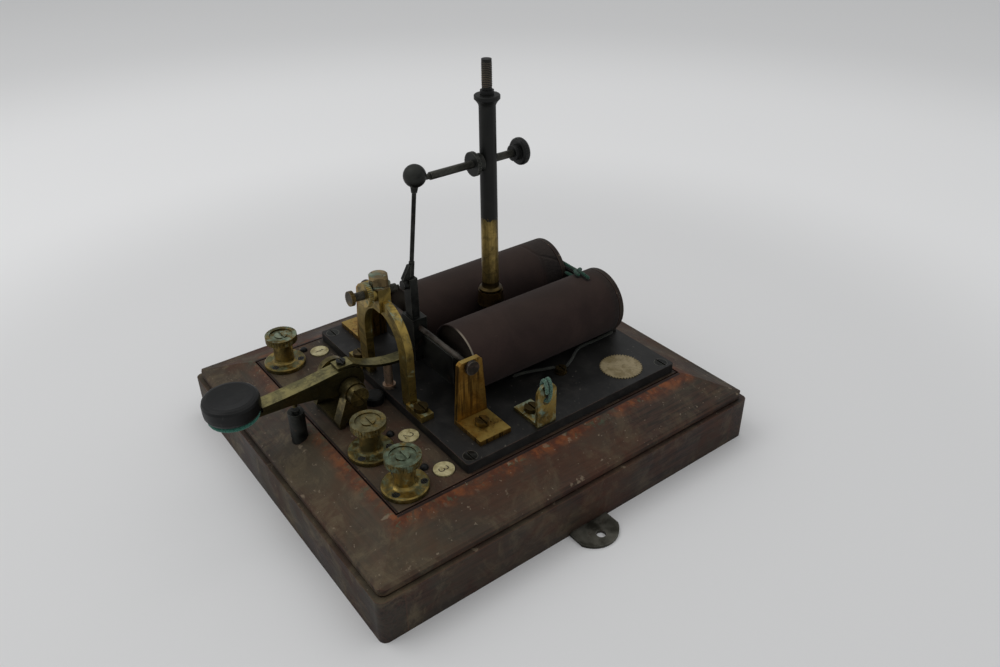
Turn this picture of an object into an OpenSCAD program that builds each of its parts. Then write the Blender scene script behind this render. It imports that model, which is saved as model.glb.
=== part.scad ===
// Telegraph instrument: a tapper key, a double coil electromagnet with a hammer
// armature and a tall pillar that carries an adjustable stop, on a hollow wooden base.
// Axes: X from the operator's left to right, Y from the key knob to the rear, Z up.
// The origin is the centre of the base's underside. Sizes are in millimetres.

/* [Base] */
// Width of the base, left to right
base_w = 228; // [216:1:244]
// Depth of the base, front to rear
base_d = 254; // [248:1:270]
// Height of the box under the moulded board
plinth_h = 27; // [22:0.5:40]
// Thickness of the box's four side boards
plinth_t = 14; // [12:0.5:18]
// Thickness of the board that closes the box from below
bottom_t = 5; // [4:0.5:7]
// Depth of the rebate that holds the bottom board
rebate_w = 5; // [4:0.5:6]
// Radius of the base's upright corners
corner_r = 4; // [2:0.5:8]
// Thickness of the moulded top board
top_t = 14.6; // [13:0.2:20]
// Height of the top board's upright edge
edge_h = 5.6; // [4:0.1:7]
// Distance that the moulding's edge lies inside the box
edge_inset = 2.6; // [1.5:0.1:3]
// Depth of the shadow groove between box and moulding
shadow_d = 4; // [3:0.1:5]
// Height of the shadow groove
shadow_h = 1; // [0.6:0.1:2]
// Width of the moulded border at the left and right
border_x = 30.8; // [28:0.2:31]
// Width of the moulded border at the front and rear
border_y = 29; // [27:0.2:31]
// Width of the fine groove round the flat panel
panel_groove_w = 1; // [0.6:0.1:1.6]
// Depth of the fine groove round the flat panel
panel_groove_d = 1.4; // [0.8:0.1:2]

/* [Bench lugs] */
// Width of a bench lug
lug_w = 26; // [20:0.5:34]
// Length of a bench lug outside the box
lug_out = 17.9; // [15:0.1:22]
// Length of a bench lug under the box
lug_in = 8.6; // [7.6:0.1:8.6]
// Thickness of a bench lug
lug_t = 2; // [1.5:0.1:3]
// Diameter of the hole in a bench lug
lug_hole_d = 5.2; // [3.5:0.1:6]
// Distance of the lug's hole from the side of the box
lug_hole_out = 10.4; // [8:0.2:11]

/* [Slab] */
// Width of the black slab
slab_w = 161.2; // [158:0.2:163]
// Depth of the black slab
slab_d = 149.6; // [147:0.2:151]
// Thickness of the black slab
slab_t = 6; // [5:0.2:8]
// Gap between the slab and the rear edge of the panel
slab_rear_gap = 2.2; // [1:0.1:3]
// Distance of the slab's corner screws from its edges
slab_screw_inset = 5.5; // [5:0.1:6.5]

/* [Terminals] */
// Place of the left terminal
terminal_1_x = -70; // [-72:0.5:-64]
// Place of the middle terminal
terminal_2_x = 35; // [33:0.5:38]
// Place of the right terminal
terminal_3_x = 69; // [66:0.5:69.5]
// Distance of the terminals from the front edge of the panel
terminal_inset = 14.2; // [13.4:0.1:14.6]
// Diameter of a terminal's foot flange
flange_d = 24.6; // [23:0.2:25.8]
// Thickness of a terminal's foot flange
flange_t = 3; // [2.4:0.1:4]
// Diameter of a terminal's neck
neck_d = 11.6; // [10.6:0.1:12]
// Height of a terminal from the panel to the seat of its cap
terminal_h = 16.6; // [15:0.2:20]
// Diameter of the milled cap
cap_d = 18.8; // [17:0.2:21]
// Thickness of the milled cap
cap_t = 4; // [3:0.1:5]
// Diameter of the cap's screw
cap_screw_d = 5; // [4:0.1:5.4]
// Length of the cap's screw below the cap
cap_screw_l = 11; // [8:0.5:12]
// Diameter of the stud that goes down through the board
stud_d = 4; // [3:0.1:4.4]
// Diameter of the ivory number discs
number_disc_d = 11.2; // [9:0.2:12]
// Distance from a terminal to its number disc
number_disc_gap = 22.4; // [21.8:0.1:23]

/* [Key] */
// Distance of the key's pivot from the front edge of the panel
pivot_inset = 21.5; // [21:0.1:22.5]
// Height of the key's pivot above the panel
pivot_h = 19.9; // [19:0.1:21]
// Diameter of the key's axle
axle_d = 4; // [3:0.1:4.6]
// Width of the key's lever
lever_w = 9.5; // [8:0.1:11]
// Distance from the pivot to the centre of the knob
knob_reach = 62.5; // [60:0.5:68]
// Distance from the pivot to the front contact
contact_reach = 30.4; // [30:0.1:31.4]
// Thickness of the lever at the knob
lever_tip_t = 4.4; // [3.6:0.1:5]
// Diameter of the green cloth washer below the knob
washer_d = 26.4; // [22:0.2:27]
// Thickness of the green cloth washer
washer_t = 2.6; // [1.6:0.1:3]
// Diameter of the knob
knob_d = 29; // [26:0.5:32]
// Thickness of the knob
knob_t = 11; // [9:0.2:13]
// Gap at the front contact when the key is up
key_gap = 1.8; // [1.8:0.1:2.4]
// Diameter of the front contact post
anvil_d = 9; // [8:0.2:10.6]
// Diameter of the rear contact post
rear_post_d = 5; // [4:0.1:5.6]
// Width of the lever's tail strip
tail_w = 8.4; // [6:0.1:9.2]
// Thickness of the lever's tail strip
tail_t = 1.6; // [1.2:0.1:2.2]

/* [Magnet] */
// Distance of the mechanism's middle line from the base's middle line
mech_x = -3; // [-3.5:0.1:-2]
// Distance between the two coils' axes
coil_spacing = 53; // [52.8:0.2:54]
// Outer diameter of a covered coil
coil_d = 41.2; // [38:0.2:41.2]
// Length of a covered coil, to the rear face of its rear cheek
coil_l = 109.4; // [106:0.2:110]
// Thickness of the paper cover
cover_t = 0.8; // [0.6:0.1:1.2]
// Diameter of an iron core
core_d = 10; // [8:0.2:12]
// Thickness of a coil's end cheek
cheek_t = 4; // [3:0.2:5]
// Depth that the front cheek lies inside the cover
cheek_inset = 1.8; // [1:0.1:2.4]
// Thickness of the iron yoke behind the coils
yoke_t = 5; // [4:0.2:5.6]

/* [Armature and hammer] */
// Distance of the arbor from the slab's front edge
arbor_inset = 23.8; // [23.4:0.1:24.2]
// Height of the arbor above the slab
arbor_h = 34.6; // [34:0.1:35]
// Diameter of the arbor
arbor_d = 3; // [2.4:0.1:3.4]
// Distance between the inner faces of the arbor's two brackets
bracket_span = 103; // [101:0.5:104]
// Thickness of a bracket
bracket_t = 3; // [2.4:0.1:3.6]
// Width of a bracket at its foot
bracket_w = 20; // [18:0.5:21]
// Width of a bracket at its top
bracket_top_w = 14.6; // [13:0.2:16]
// Length of a bracket's foot
bracket_foot = 21; // [18:0.5:22]
// Width of the iron armature
armature_w = 72; // [68:0.5:76]
// Height of the iron armature
armature_h = 19; // [17:0.2:20]
// Thickness of the iron armature
armature_t = 5; // [4:0.1:5.4]
// Air gap between the armature and the cores
air_gap = 1.9; // [1.9:0.1:2.4]
// Height of the hammer's ball above the arbor
ball_h = 86.4; // [80:0.4:88]
// Diameter of the hammer's ball
ball_d = 12.2; // [10:0.1:13.4]
// Distance that the ball lies behind the arbor
ball_back = 6.4; // [5:0.1:7]
// Diameter of the hammer's rod
rod_d = 2.4; // [1.8:0.1:2.6]

/* [Arch] */
// Distance of the arch's middle plane from the slab's front edge
arch_inset = 4.1; // [3.9:0.1:4.3]
// Thickness of the arch
arch_t = 4.5; // [4:0.1:5]
// Outer radius of the arch
arch_r = 26.5; // [25:0.1:27.5]
// Inner radius of the arch
arch_hole_r = 18.4; // [17.5:0.1:19.5]
// Height of the arch's straight legs
arch_leg_h = 32.4; // [32:0.1:34]
// Length of an arch foot beyond the leg
arch_foot = 14; // [12.5:0.5:16]
// Height of the contact screw above the slab, at the arch
contact_h = 62.4; // [62:0.1:63.4]
// Angle by which the contact screw slopes down to the rear
contact_tilt = 5; // [3:0.5:6]
// Diameter of the contact screw
contact_d = 4.7; // [3.6:0.1:4.9]
// Gap between the contact screw and the hammer's carrier
contact_gap = 2.2; // [2.2:0.1:2.8]

/* [Pillar] */
// Distance of the pillar behind the arbor
pillar_back = 53.2; // [51:0.2:57]
// Height of the pedestal above the slab
pedestal_h = 39; // [38.6:0.2:42]
// Diameter of the pedestal's head
pedestal_d = 16; // [14.6:0.1:16.2]
// Diameter of the pedestal's shank between the coils
pedestal_neck_d = 10.2; // [9:0.1:11]
// Diameter of the pillar where it leaves its foot
pillar_low_d = 10; // [9:0.1:10.4]
// Diameter of the pillar below its seat
pillar_top_d = 9.2; // [8:0.1:9.6]
// Height of the seat's top above the slab
seat_h = 154.4; // [146:0.2:160]
// Diameter of the seat at the pillar's top
seat_d = 14; // [12:0.1:15]
// Diameter of the threaded stud at the top
top_stud_d = 5.4; // [4.4:0.1:5.8]
// Length of the threaded stud at the top
top_stud_l = 15.8; // [11:0.2:18]
// Diameter of the stop screw
stop_d = 4.3; // [3.4:0.1:4.6]
// Diameter of the stop screw's milled head
stop_head_d = 15.4; // [13:0.1:17]
// Thickness of the stop screw's milled head
stop_head_t = 4.6; // [4:0.1:6]
// Distance of the milled head behind the pillar's axis
stop_head_back = 19.4; // [17:0.2:21]
// Diameter of the stop screw's lock nut
stop_nut_d = 13.4; // [12:0.1:15]

/* [Hidden] */
$fn = 48;

// Clearances
fit = 0.06;
loose = 0.15;
seat_gap = 0.3;
eps = 0.01;

// Colours
mahogany = "#5a2f22";
dark_wood = "#3d2018";
black_japan = "#1c1c1e";
brass = "#b08d3e";
worn_brass = "#8f7a45";
dark_steel = "#3a3c3a";
iron = "#4a4a48";
ebonite = "#202022";
paper_brown = "#5a4038";
ivory = "#e4dcc0";
copper = "#a5623c";
green_silk = "#2f6a52";
gilt = "#d8cc92";

// Levels and edges of the base
board_z = plinth_h;
panel_z = plinth_h + top_t;
slab_z = panel_z + slab_t;
panel_front = -base_d / 2 + border_y;
panel_rear = base_d / 2 - border_y;
slab_rear = panel_rear - slab_rear_gap;
slab_front = slab_rear - slab_d;
slab_mid = (slab_front + slab_rear) / 2;
nose = 1.4;
bottom_screw_l = 12;
bottom_screw_d = 3;
bottom_head_gap = 0.3;
bottom_head_d = rebate_w - 2 * bottom_head_gap;
lug_head_d = 6;
bottom_head_h = 2;
bottom_screw_in = 24;
lug_screw_in = 4.5;
lug_screw_apart = 14;
lug_bow = 1.5;

// Places on the panel
terminal_x = [terminal_1_x, terminal_2_x, terminal_3_x];
terminal_y = panel_front + terminal_inset;
disc_y = terminal_y + number_disc_gap;
pin_y = terminal_y + flange_d / 2 + 3;
pin_side = -6.4;
disc_t = 0.8;
cap_z = panel_z + terminal_h;
stud_bottom = board_z - 6;
nut_d = 9;
nut_t = 3;
strap_t = 0.8;
strap_w = 6;

// Places of the key
key_x = mech_x;
pivot_y = panel_front + pivot_inset;
pivot_z = panel_z + pivot_h;
knob_y = pivot_y - knob_reach;
lever_top = 8.3;
pad_top = pivot_z + lever_top;
anvil_y = pivot_y - contact_reach;
tip_l = 4;
tip_d = 3;
tip_pin_d = tip_d - 1;
hub_r = 6.4;
near_cheek_t = 6.6;
near_cheek_r = 6.4;
far_cheek_t = 3.5;
far_cheek_r = 8.6;
far_hub_l = 8.2;
side_gap = 0.4;
standard_t = 3;
standard_y = pivot_y - 3;

// Places of the magnet, armature and hammer
arbor_y = slab_front + arbor_inset;
arbor_z = slab_z + arbor_h;
core_out = 1;
coil_z = slab_z + coil_d / 2 + 0.1;
armature_y = arbor_y + 3.5;
armature_rear = armature_y + armature_t / 2;
core_front = armature_rear + air_gap;
coil_front = core_front + core_out;
core_rear_out = 0.4;
coil_rear = coil_front + coil_l;
core_rear = coil_rear + core_rear_out;
yoke_front = core_rear;
yoke_rear = yoke_front + yoke_t;
coil_x = [mech_x - coil_spacing / 2, mech_x + coil_spacing / 2];
cover_r = coil_d / 2;
cheek_r = cover_r - cover_t - 0.1;
cheek_show = cheek_t - 0.6;
armature_top = arbor_z - 4.6;
armature_low = armature_top - armature_h;
carrier_w = 12;
carrier_t = 9;
carrier_tongue = 5;
stem_w = 6.6;
stem_t = 5;
stem_y = arbor_y - 0.7;
stem_top = arbor_z + 30;
contact_z = slab_z + contact_h;
arch_y = slab_front + arch_inset;
stem_boss_d = 5.4;
stem_boss_s = (stem_y - arch_y) / cos(contact_tilt);
stem_boss_out = 3;
contact_end = stem_boss_s - stem_t / 2 - stem_boss_out - contact_gap;
ball_y = arbor_y + ball_back;
ball_z = arbor_z + ball_h;
rod_foot_z = stem_top - 5;
rod_foot_y = stem_y;
rod_lean = atan2(ball_y - rod_foot_y, ball_z - rod_foot_z);
rod_l = norm([ball_y - rod_foot_y, ball_z - rod_foot_z]);

// Places of the arch and its screws
arch_spring = slab_z + arch_leg_h;
arch_foot_w = 7.8;
arch_foot_t = 3.6;
arch_boss_d = 9.6;
arch_boss_front = -arch_t / 2 - 4.8;
arch_boss_rear = arch_t / 2 + 1.4;
clamp_pad_w = 10.4;
clamp_pad_d = 7.4;
clamp_pad_top = contact_z + arch_boss_d / 2 - 1.2;
clamp_y = arch_y - 0.4;
contact_nut_d = 13.4;
contact_nut_t = 3;
contact_head_d = 8.2;
contact_head_t = 2.2;
contact_head_out = 16.6;
clamp_d = 3;
clamp_washer_d = 12.4;
clamp_washer_t = 1;
clamp_head_w = 10;
clamp_head_h = 5.2;
clamp_head_r = clamp_head_w * 0.6;
clamp_turn = -25;

// Places of the pillar and its stop screw
pillar_y = arbor_y + pillar_back;
pedestal_z = slab_z + pedestal_h;
pedestal_head_h = 8.4;
seat_z = slab_z + seat_h;
spigot_d = 5;
stop_z = ball_z - 2.3;
stop_tip_d = 3;
stop_tip_l = 2.6;
stop_front = ball_y + ball_d / 2 + seat_gap;
stop_head_y = pillar_y + stop_head_back;
stop_nut_t = 2;
stop_hub_t = 3.8;
stop_hub_d = 10;
stop_nut_y = pillar_y - pillar_low_d / 2 - seat_gap - stop_hub_t - stop_nut_t;

// The wire terminal at the slab's right edge
wire_x = slab_w / 2 - 1.4;
wire_y = arbor_y + 29;
wire_foot = 21;
wire_foot_w = 12;
wire_t = 2;
wire_w = 12.6;
wire_h = 26.4;
wire_eye_h = 16;
wire_eye_d = 5.4;

// Screws that stand on the slab
slab_head_d = 8;
slab_head_h = 1.6;
foot_head_d = 8;
foot_head_h = 2.6;
foot_screw_d = 3.4;
foot_screw_l = 11;
lead_washer_d = 7.4;
slot_w = 1.2;
slot_d = 0.9;
lead_x = slab_w / 2 - 34;
lead_y = slab_rear - 59;
arch_screw_x = arch_r + 7.4;
bracket_screw_x = bracket_span / 2 + 12;

// Slotted cheese-head screw, its head standing on the plane z = 0
module slotted_screw(head_d, head_h, d, l) {
    difference() {
        union() {
            cylinder(h = head_h, d = head_d);
            translate([0, 0, -l]) cylinder(h = l, d = d);
        }
        translate([0, 0, head_h]) cube([head_d * 2, slot_w, slot_d * 2], center = true);
    }
}

// Countersunk wood screw, its flat head level with the plane z = 0 and pointing up
module flat_screw(head_d, head_h, d, l) {
    difference() {
        rotate_extrude() polygon([
            [0, 0], [head_d / 2, 0], [d / 2, -head_h], [d / 2, -l + d], [0, -l]]);
        cube([head_d * 2, slot_w, slot_d * 2], center = true);
    }
}

// Countersunk hole for the screw above
module flat_hole(head_d, head_h, d, l) {
    rotate_extrude() polygon([
        [0, eps], [head_d / 2 + loose, eps], [head_d / 2 + loose, 0],
        [d / 2 + loose, -head_h], [d / 2 + loose, -l - loose], [0, -l - loose]]);
}

// Disc with a milled edge, standing on the plane z = 0
module milled_disc(d, h, teeth, bite) {
    difference() {
        cylinder(h = h, d = d);
        for (i = [0 : teeth - 1])
            rotate([0, 0, i * 360 / teeth])
                translate([d / 2 + bite * 0.4, 0, -eps])
                    rotate([0, 0, 45])
                        translate([-bite / 2, -bite / 2, 0]) cube([bite, bite, h + 2 * eps]);
    }
}

// Plan of a rounded rectangle
module rounded_plan(w, d, r) {
    square([w - 2 * r, d], center = true);
    square([w, d - 2 * r], center = true);
    for (sx = [-1, 1], sy = [-1, 1])
        translate([sx * (w / 2 - r), sy * (d / 2 - r)]) circle(r);
}

module base_prism(h) {
    linear_extrude(height = h) rounded_plan(base_w, base_d, corner_r);
}

// Where the screws of the base are
module bottom_screw_places() {
    for (sx = [-1, 1], sy = [-1, 1])
        translate([sx * (base_w / 2 - plinth_t + rebate_w / 2), sy * (base_d / 2 - plinth_t - bottom_screw_in), 0])
            children();
}

module lug_screw_places() {
    for (sx = [-1, 1], sy = [-1, 1])
        translate([sx * (base_w / 2 - lug_screw_in), sy * lug_screw_apart / 2, 0]) children();
}

// Flat plate with a bowed outer end; slack widens it for the recess under the box
module lug_plate(slack) {
    end_r = lug_w / 2 + lug_bow;
    wide = lug_w + 2 * slack;
    translate([0, 0, -eps * sign(slack)]) linear_extrude(height = lug_t + slack) intersection() {
        translate([base_w / 2 - lug_in - slack, -wide / 2]) square([lug_in + lug_out + 2 * slack, wide]);
        union() {
            translate([base_w / 2 + lug_out - end_r, 0]) circle(end_r + slack);
            translate([base_w / 2 - lug_in - slack, -wide / 2]) square([lug_in + lug_out - end_r + slack, wide]);
        }
    }
}

module rebate_cut() {
    translate([0, 0, -eps])
        linear_extrude(height = bottom_t + 2 * eps)
            square([base_w - 2 * plinth_t + 2 * rebate_w, base_d - 2 * plinth_t + 2 * rebate_w], center = true);
}

module box_cuts() {
    rebate_cut();
    for (side = [0, 1]) mirror([side, 0, 0]) lug_plate(seat_gap / 2);
    bottom_screw_places() cylinder(h = bottom_screw_l + loose, d = bottom_screw_d + 2 * loose);
    lug_screw_places() cylinder(h = lug_t + bottom_screw_l, d = bottom_screw_d + 2 * loose);
}

module plinth_ends() {
    color(mahogany) difference() {
        for (side = [-1, 1])
            intersection() {
                base_prism(plinth_h);
                translate([0, side * (base_d / 2 - plinth_t / 2), plinth_h / 2])
                    cube([base_w, plinth_t, plinth_h], center = true);
            }
        box_cuts();
    }
}

module plinth_sides() {
    color(mahogany) difference() {
        for (side = [-1, 1])
            translate([side * (base_w / 2 - plinth_t / 2), 0, plinth_h / 2])
                cube([plinth_t, base_d - 2 * plinth_t, plinth_h], center = true);
        box_cuts();
    }
}

module bottom_board() {
    color(dark_wood) difference() {
        translate([0, 0, bottom_t / 2])
            cube([base_w - 2 * plinth_t + 2 * rebate_w - 2 * seat_gap,
                  base_d - 2 * plinth_t + 2 * rebate_w - 2 * seat_gap, bottom_t], center = true);
        bottom_screw_places()
            mirror([0, 0, 1]) flat_hole(bottom_head_d, bottom_head_h, bottom_screw_d, bottom_screw_l);
    }
}

module base_screws() {
    color(dark_steel) {
        bottom_screw_places()
            mirror([0, 0, 1]) flat_screw(bottom_head_d, bottom_head_h, bottom_screw_d, bottom_screw_l);
        lug_screw_places()
            mirror([0, 0, 1]) flat_screw(lug_head_d, lug_t, bottom_screw_d, bottom_screw_l);
    }
}

module bench_lugs() {
    color(dark_steel) difference() {
        for (side = [0, 1]) mirror([side, 0, 0]) lug_plate(0);
        for (side = [-1, 1])
            translate([side * (base_w / 2 + lug_hole_out), 0, -1]) cylinder(h = lug_t + 2, d = lug_hole_d);
        lug_screw_places() mirror([0, 0, 1]) flat_hole(lug_head_d, lug_t, bottom_screw_d, bottom_screw_l);
    }
}

// Height of the moulded board above its underside, at a share of the border's width
function ogee(t) = 0.62 * t + 0.19 * (1 - cos(180 * t));
ogee_steps = 8;

// Half of the board's section, from the middle out; border is the moulding's width
function half_section(half, border) = concat(
    [[half - shadow_d, 0], [half - shadow_d, shadow_h], [half - edge_inset, shadow_h],
     [half - edge_inset, edge_h - nose]],
    [for (i = [0 : ogee_steps])
        let (t = i / ogee_steps)
        [half - edge_inset - nose - t * (border - edge_inset - nose),
         edge_h + ogee(t) * (top_t - edge_h)]]);

function full_section(half, border) =
    let (right = half_section(half, border), n = len(right))
    concat(right, [for (i = [n - 1 : -1 : 0]) [-right[i][0], right[i][1]]]);

function board_height(inset) =
    edge_h + ogee((inset - edge_inset - nose) / (border_y - edge_inset - nose)) * (top_t - edge_h);

module panel_groove() {
    translate([0, 0, panel_z - panel_groove_d]) difference() {
        linear_extrude(height = panel_groove_d + 1)
            square([base_w - 2 * border_x, base_d - 2 * border_y], center = true);
        translate([0, 0, -1]) linear_extrude(height = panel_groove_d + 3)
            square([base_w - 2 * border_x - 2 * panel_groove_w,
                    base_d - 2 * border_y - 2 * panel_groove_w], center = true);
    }
}

anvil_inset = anvil_y + base_d / 2;
anvil_seat = board_z + board_height(anvil_inset - anvil_d / 2);

module top_board() {
    color(mahogany) difference() {
        translate([0, 0, board_z]) intersection() {
            rotate([90, 0, 0]) linear_extrude(height = base_d, center = true)
                polygon(full_section(base_w / 2, border_x));
            rotate([90, 0, 90]) linear_extrude(height = base_w, center = true)
                polygon(full_section(base_d / 2, border_y));
            linear_extrude(height = top_t)
                rounded_plan(base_w - 2 * edge_inset, base_d - 2 * edge_inset, corner_r);
        }
        panel_groove();
        translate([key_x, anvil_y, anvil_seat]) cylinder(h = top_t, d = anvil_d + 2 * loose);
        stud_places() translate([0, 0, board_z - 1]) cylinder(h = top_t + slab_t + 2, d = stud_d + 2 * loose);
        terminal_screw_places()
            flat_hole(terminal_head_d, terminal_head_h, terminal_screw_d, terminal_screw_l);
        panel_pin_places() translate([0, 0, panel_z - panel_pin_l - loose])
            cylinder(h = panel_pin_l + 1, d = panel_pin_d + 2 * loose);
        slab_screw_places() translate([0, 0, slab_z]) flat_hole(slab_head_d, slab_head_h, foot_screw_d, slab_t + 6);
        foot_screw_places() translate([0, 0, -foot_screw_l - loose])
            cylinder(h = foot_screw_l, d = foot_screw_d + 2 * loose);
        pillar_hole();
        yoke_foot_places() cylinder(h = top_t + slab_t + 10, d = yoke_foot_d + 2 * loose, center = true);
        key_button_place() translate([0, 0, -button_pin_l - loose])
            cylinder(h = button_pin_l + 1, d = button_pin_d + 2 * loose);
    }
}

// Studs that come out below the board: three terminals, the key, the front contact, the leads
stud_xy = [
    [terminal_1_x, terminal_y], [terminal_2_x, terminal_y], [terminal_3_x, terminal_y],
    [key_x, standard_y], [key_x, anvil_y], [lead_x, lead_y]
];

module stud_places() {
    for (p = stud_xy) translate([p[0], p[1], 0]) children();
}

module pillar_hole() {
    translate([mech_x, pillar_y, stud_bottom - 1]) cylinder(h = slab_z - stud_bottom + 2, d = spigot_d + 2 * loose);
}

module under_nuts() {
    color(brass) {
        stud_places() translate([0, 0, board_z - strap_t - nut_t - eps]) nut(stud_d);
        translate([mech_x, pillar_y, board_z - nut_t - eps]) nut(spigot_d);
    }
}

module nut(d) {
    difference() {
        cylinder(h = nut_t, d = nut_d, $fn = 6);
        translate([0, 0, -1]) cylinder(h = nut_t + 2, d = d + 2 * fit);
    }
}

// Flat copper strap between two studs, against the underside of the board
module strap(a, b) {
    d = b - a;
    l = norm(d);
    translate([a[0], a[1], board_z - strap_t]) rotate([0, 0, atan2(d[1], d[0])]) difference() {
        linear_extrude(height = strap_t) union() {
            translate([0, -strap_w / 2]) square([l, strap_w]);
            circle(d = strap_w + 3);
            translate([l, 0]) circle(d = strap_w + 3);
        }
        for (x = [0, l]) translate([x, 0, -1]) cylinder(h = strap_t + 2, d = stud_d + 2 * loose);
    }
}

module under_straps() {
    color(copper) {
        strap(stud_xy[0], stud_xy[3]);
        strap(stud_xy[1], stud_xy[4]);
        strap(stud_xy[2], stud_xy[5]);
    }
}

module slab_screw_places() {
    for (sx = [-1, 1], y = [slab_front + slab_screw_inset, slab_rear - slab_screw_inset])
        translate([sx * (slab_w / 2 - slab_screw_inset), y, 0]) children();
}

module slab() {
    color(black_japan) difference() {
        translate([0, slab_mid, panel_z]) linear_extrude(height = slab_t) rounded_plan(slab_w, slab_d, 1.5);
        slab_screw_places() translate([0, 0, slab_z]) flat_hole(slab_head_d, slab_head_h, foot_screw_d, slab_t + 6);
        foot_screw_places() translate([0, 0, -foot_screw_l - loose])
            cylinder(h = foot_screw_l + 1, d = foot_screw_d + 2 * loose);
        translate([lead_x, lead_y, panel_z - 1]) cylinder(h = slab_t + 2, d = stud_d + 2 * loose);
        pillar_hole();
        yoke_foot_places() cylinder(h = top_t + slab_t + 10, d = yoke_foot_d + 2 * loose, center = true);
        translate([key_x, arch_y, slab_z - rear_pin_l - loose])
            cylinder(h = rear_pin_l + 1, d = rear_pin_d + 2 * loose);
    }
}

module slab_screws() {
    color(dark_steel) slab_screw_places()
        translate([0, 0, slab_z]) flat_screw(slab_head_d, slab_head_h, foot_screw_d, slab_t + 6);
}

// Where the cheese-head screws stand: arch feet, bracket feet and the wire terminal's foot.
// Each place is the top face of the foot that its screw holds.
foot_t = 3;
wire_screw_x = wire_x - wire_foot + 8;

module foot_screw_places() {
    for (side = [-1, 1]) {
        translate([mech_x + side * arch_screw_x, arch_y, slab_z + arch_foot_t]) children();
        translate([mech_x + side * bracket_screw_x, arbor_y, slab_z + foot_t]) children();
    }
    translate([wire_screw_x, wire_y, slab_z + wire_t]) children();
}

// The lead screw is the same screw with a long shank: it is the stud that takes the coil lead
module foot_screws() {
    color(dark_steel) {
        foot_screw_places() slotted_screw(foot_head_d, foot_head_h, foot_screw_d, foot_screw_l - 1);
        translate([lead_x, lead_y, slab_z]) {
            cylinder(h = 1, d = lead_washer_d);
            translate([0, 0, 1 - eps]) slotted_screw(lead_washer_d - 1.2, foot_head_h, stud_d, slab_z - stud_bottom);
        }
    }
}

// Terminals: flanged and waisted pillars with a milled cap on a screw
terminal_screw_d = 2.2;
terminal_head_d = 4.2;
terminal_head_h = 1.4;
terminal_screw_l = 9;
terminal_screw_ring = 9.4;
neck_flare = 2;

module terminal_screw_places() {
    for (x = terminal_x, a = [-60, 60, 180])
        translate([x + terminal_screw_ring * cos(a), terminal_y + terminal_screw_ring * sin(a), panel_z + flange_t])
            children();
}

module terminal_pillar() {
    waist = neck_d / 2;
    difference() {
        union() {
            rotate_extrude() polygon(concat(
                [[0, 0], [flange_d / 2, 0], [flange_d / 2, flange_t - 0.6], [flange_d / 2 - 0.6, flange_t],
                 [waist + neck_flare, flange_t]],
                [for (i = [0 : 6])
                    let (a = i * 15)
                    [waist + neck_flare * (1 - sin(a)), flange_t + neck_flare * (1 - cos(a)) + eps]],
                [for (i = [0 : 6])
                    let (a = 90 - i * 15)
                    [waist + neck_flare * (1 - sin(a)) , terminal_h - neck_flare * (1 - cos(a)) - eps]],
                [[0, terminal_h]]));
            translate([0, 0, stud_bottom - panel_z]) cylinder(h = panel_z - stud_bottom + 1, d = stud_d);
        }
        translate([0, 0, terminal_h - cap_screw_l - 1]) cylinder(h = cap_screw_l + 2, d = cap_screw_d + 2 * fit);
    }
}

module terminal_pillars() {
    color(brass) difference() {
        for (x = terminal_x) translate([x, terminal_y, panel_z]) terminal_pillar();
        terminal_screw_places() flat_hole(terminal_head_d, terminal_head_h, terminal_screw_d, terminal_screw_l);
    }
}

module terminal_screws() {
    color(dark_steel) terminal_screw_places()
        difference() {
            rotate_extrude() polygon([
                [0, 0], [terminal_head_d / 2, 0], [terminal_screw_d / 2, -terminal_head_h],
                [terminal_screw_d / 2, -terminal_screw_l + 1], [0, -terminal_screw_l]]);
            cube([terminal_head_d * 2, slot_w * 0.6, slot_d], center = true);
        }
}

module terminal_shank(x) {
    color(worn_brass) translate([x, terminal_y, cap_z - cap_screw_l])
        cylinder(h = cap_screw_l + cap_t / 2, d = cap_screw_d);
}

// Milled cap with a raised rim, a slotted boss in the middle and its bore for the screw
cap_dish_d = cap_d * 0.74;
cap_dish_deep = 0.8;
cap_boss_d = cap_screw_d + 2.4;

module terminal_cap(x) {
    color(brass) translate([x, terminal_y, cap_z + seat_gap]) difference() {
        milled_disc(cap_d, cap_t, 36, 0.9);
        translate([0, 0, -1]) cylinder(h = cap_t / 2 + 1.4, d = cap_screw_d + 2 * fit);
        translate([0, 0, cap_t - cap_dish_deep]) difference() {
            cylinder(h = cap_dish_deep + 1, d = cap_dish_d);
            translate([0, 0, -1]) cylinder(h = cap_dish_deep + 3, d = cap_boss_d);
        }
        translate([0, 0, cap_t]) cube([cap_boss_d + 1, slot_w, 2 * cap_dish_deep], center = true);
    }
}

module terminal_shank_1() { terminal_shank(terminal_1_x); }
module terminal_shank_2() { terminal_shank(terminal_2_x); }
module terminal_shank_3() { terminal_shank(terminal_3_x); }
module terminal_cap_1() { terminal_cap(terminal_1_x); }
module terminal_cap_2() { terminal_cap(terminal_2_x); }
module terminal_cap_3() { terminal_cap(terminal_3_x); }

module number_discs() {
    color(ivory) for (x = terminal_x)
        translate([x + 1, disc_y, panel_z]) cylinder(h = disc_t, d = number_disc_d);
}

// Small black round-head pins beside the terminals
panel_pin_d = 2.4;
panel_pin_l = 6;
panel_pin_head = 4.6;

module panel_pin_places() {
    for (x = terminal_x) translate([x + pin_side, pin_y, 0]) children();
}

module panel_pins() {
    color(ebonite) panel_pin_places() {
        translate([0, 0, panel_z - panel_pin_l]) cylinder(h = panel_pin_l + 0.5, d = panel_pin_d);
        intersection() {
            translate([0, 0, panel_z]) sphere(d = panel_pin_head);
            translate([-panel_pin_head, -panel_pin_head, panel_z])
                cube([2 * panel_pin_head, 2 * panel_pin_head, panel_pin_head]);
        }
    }
}

// Blank gilt seal with a serrated edge
seal_d = 25.4;
seal_teeth = 44;
seal_bite = 1.1;
seal_x = slab_w / 2 - 16.4;
seal_y = slab_rear - 27.4;

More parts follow.
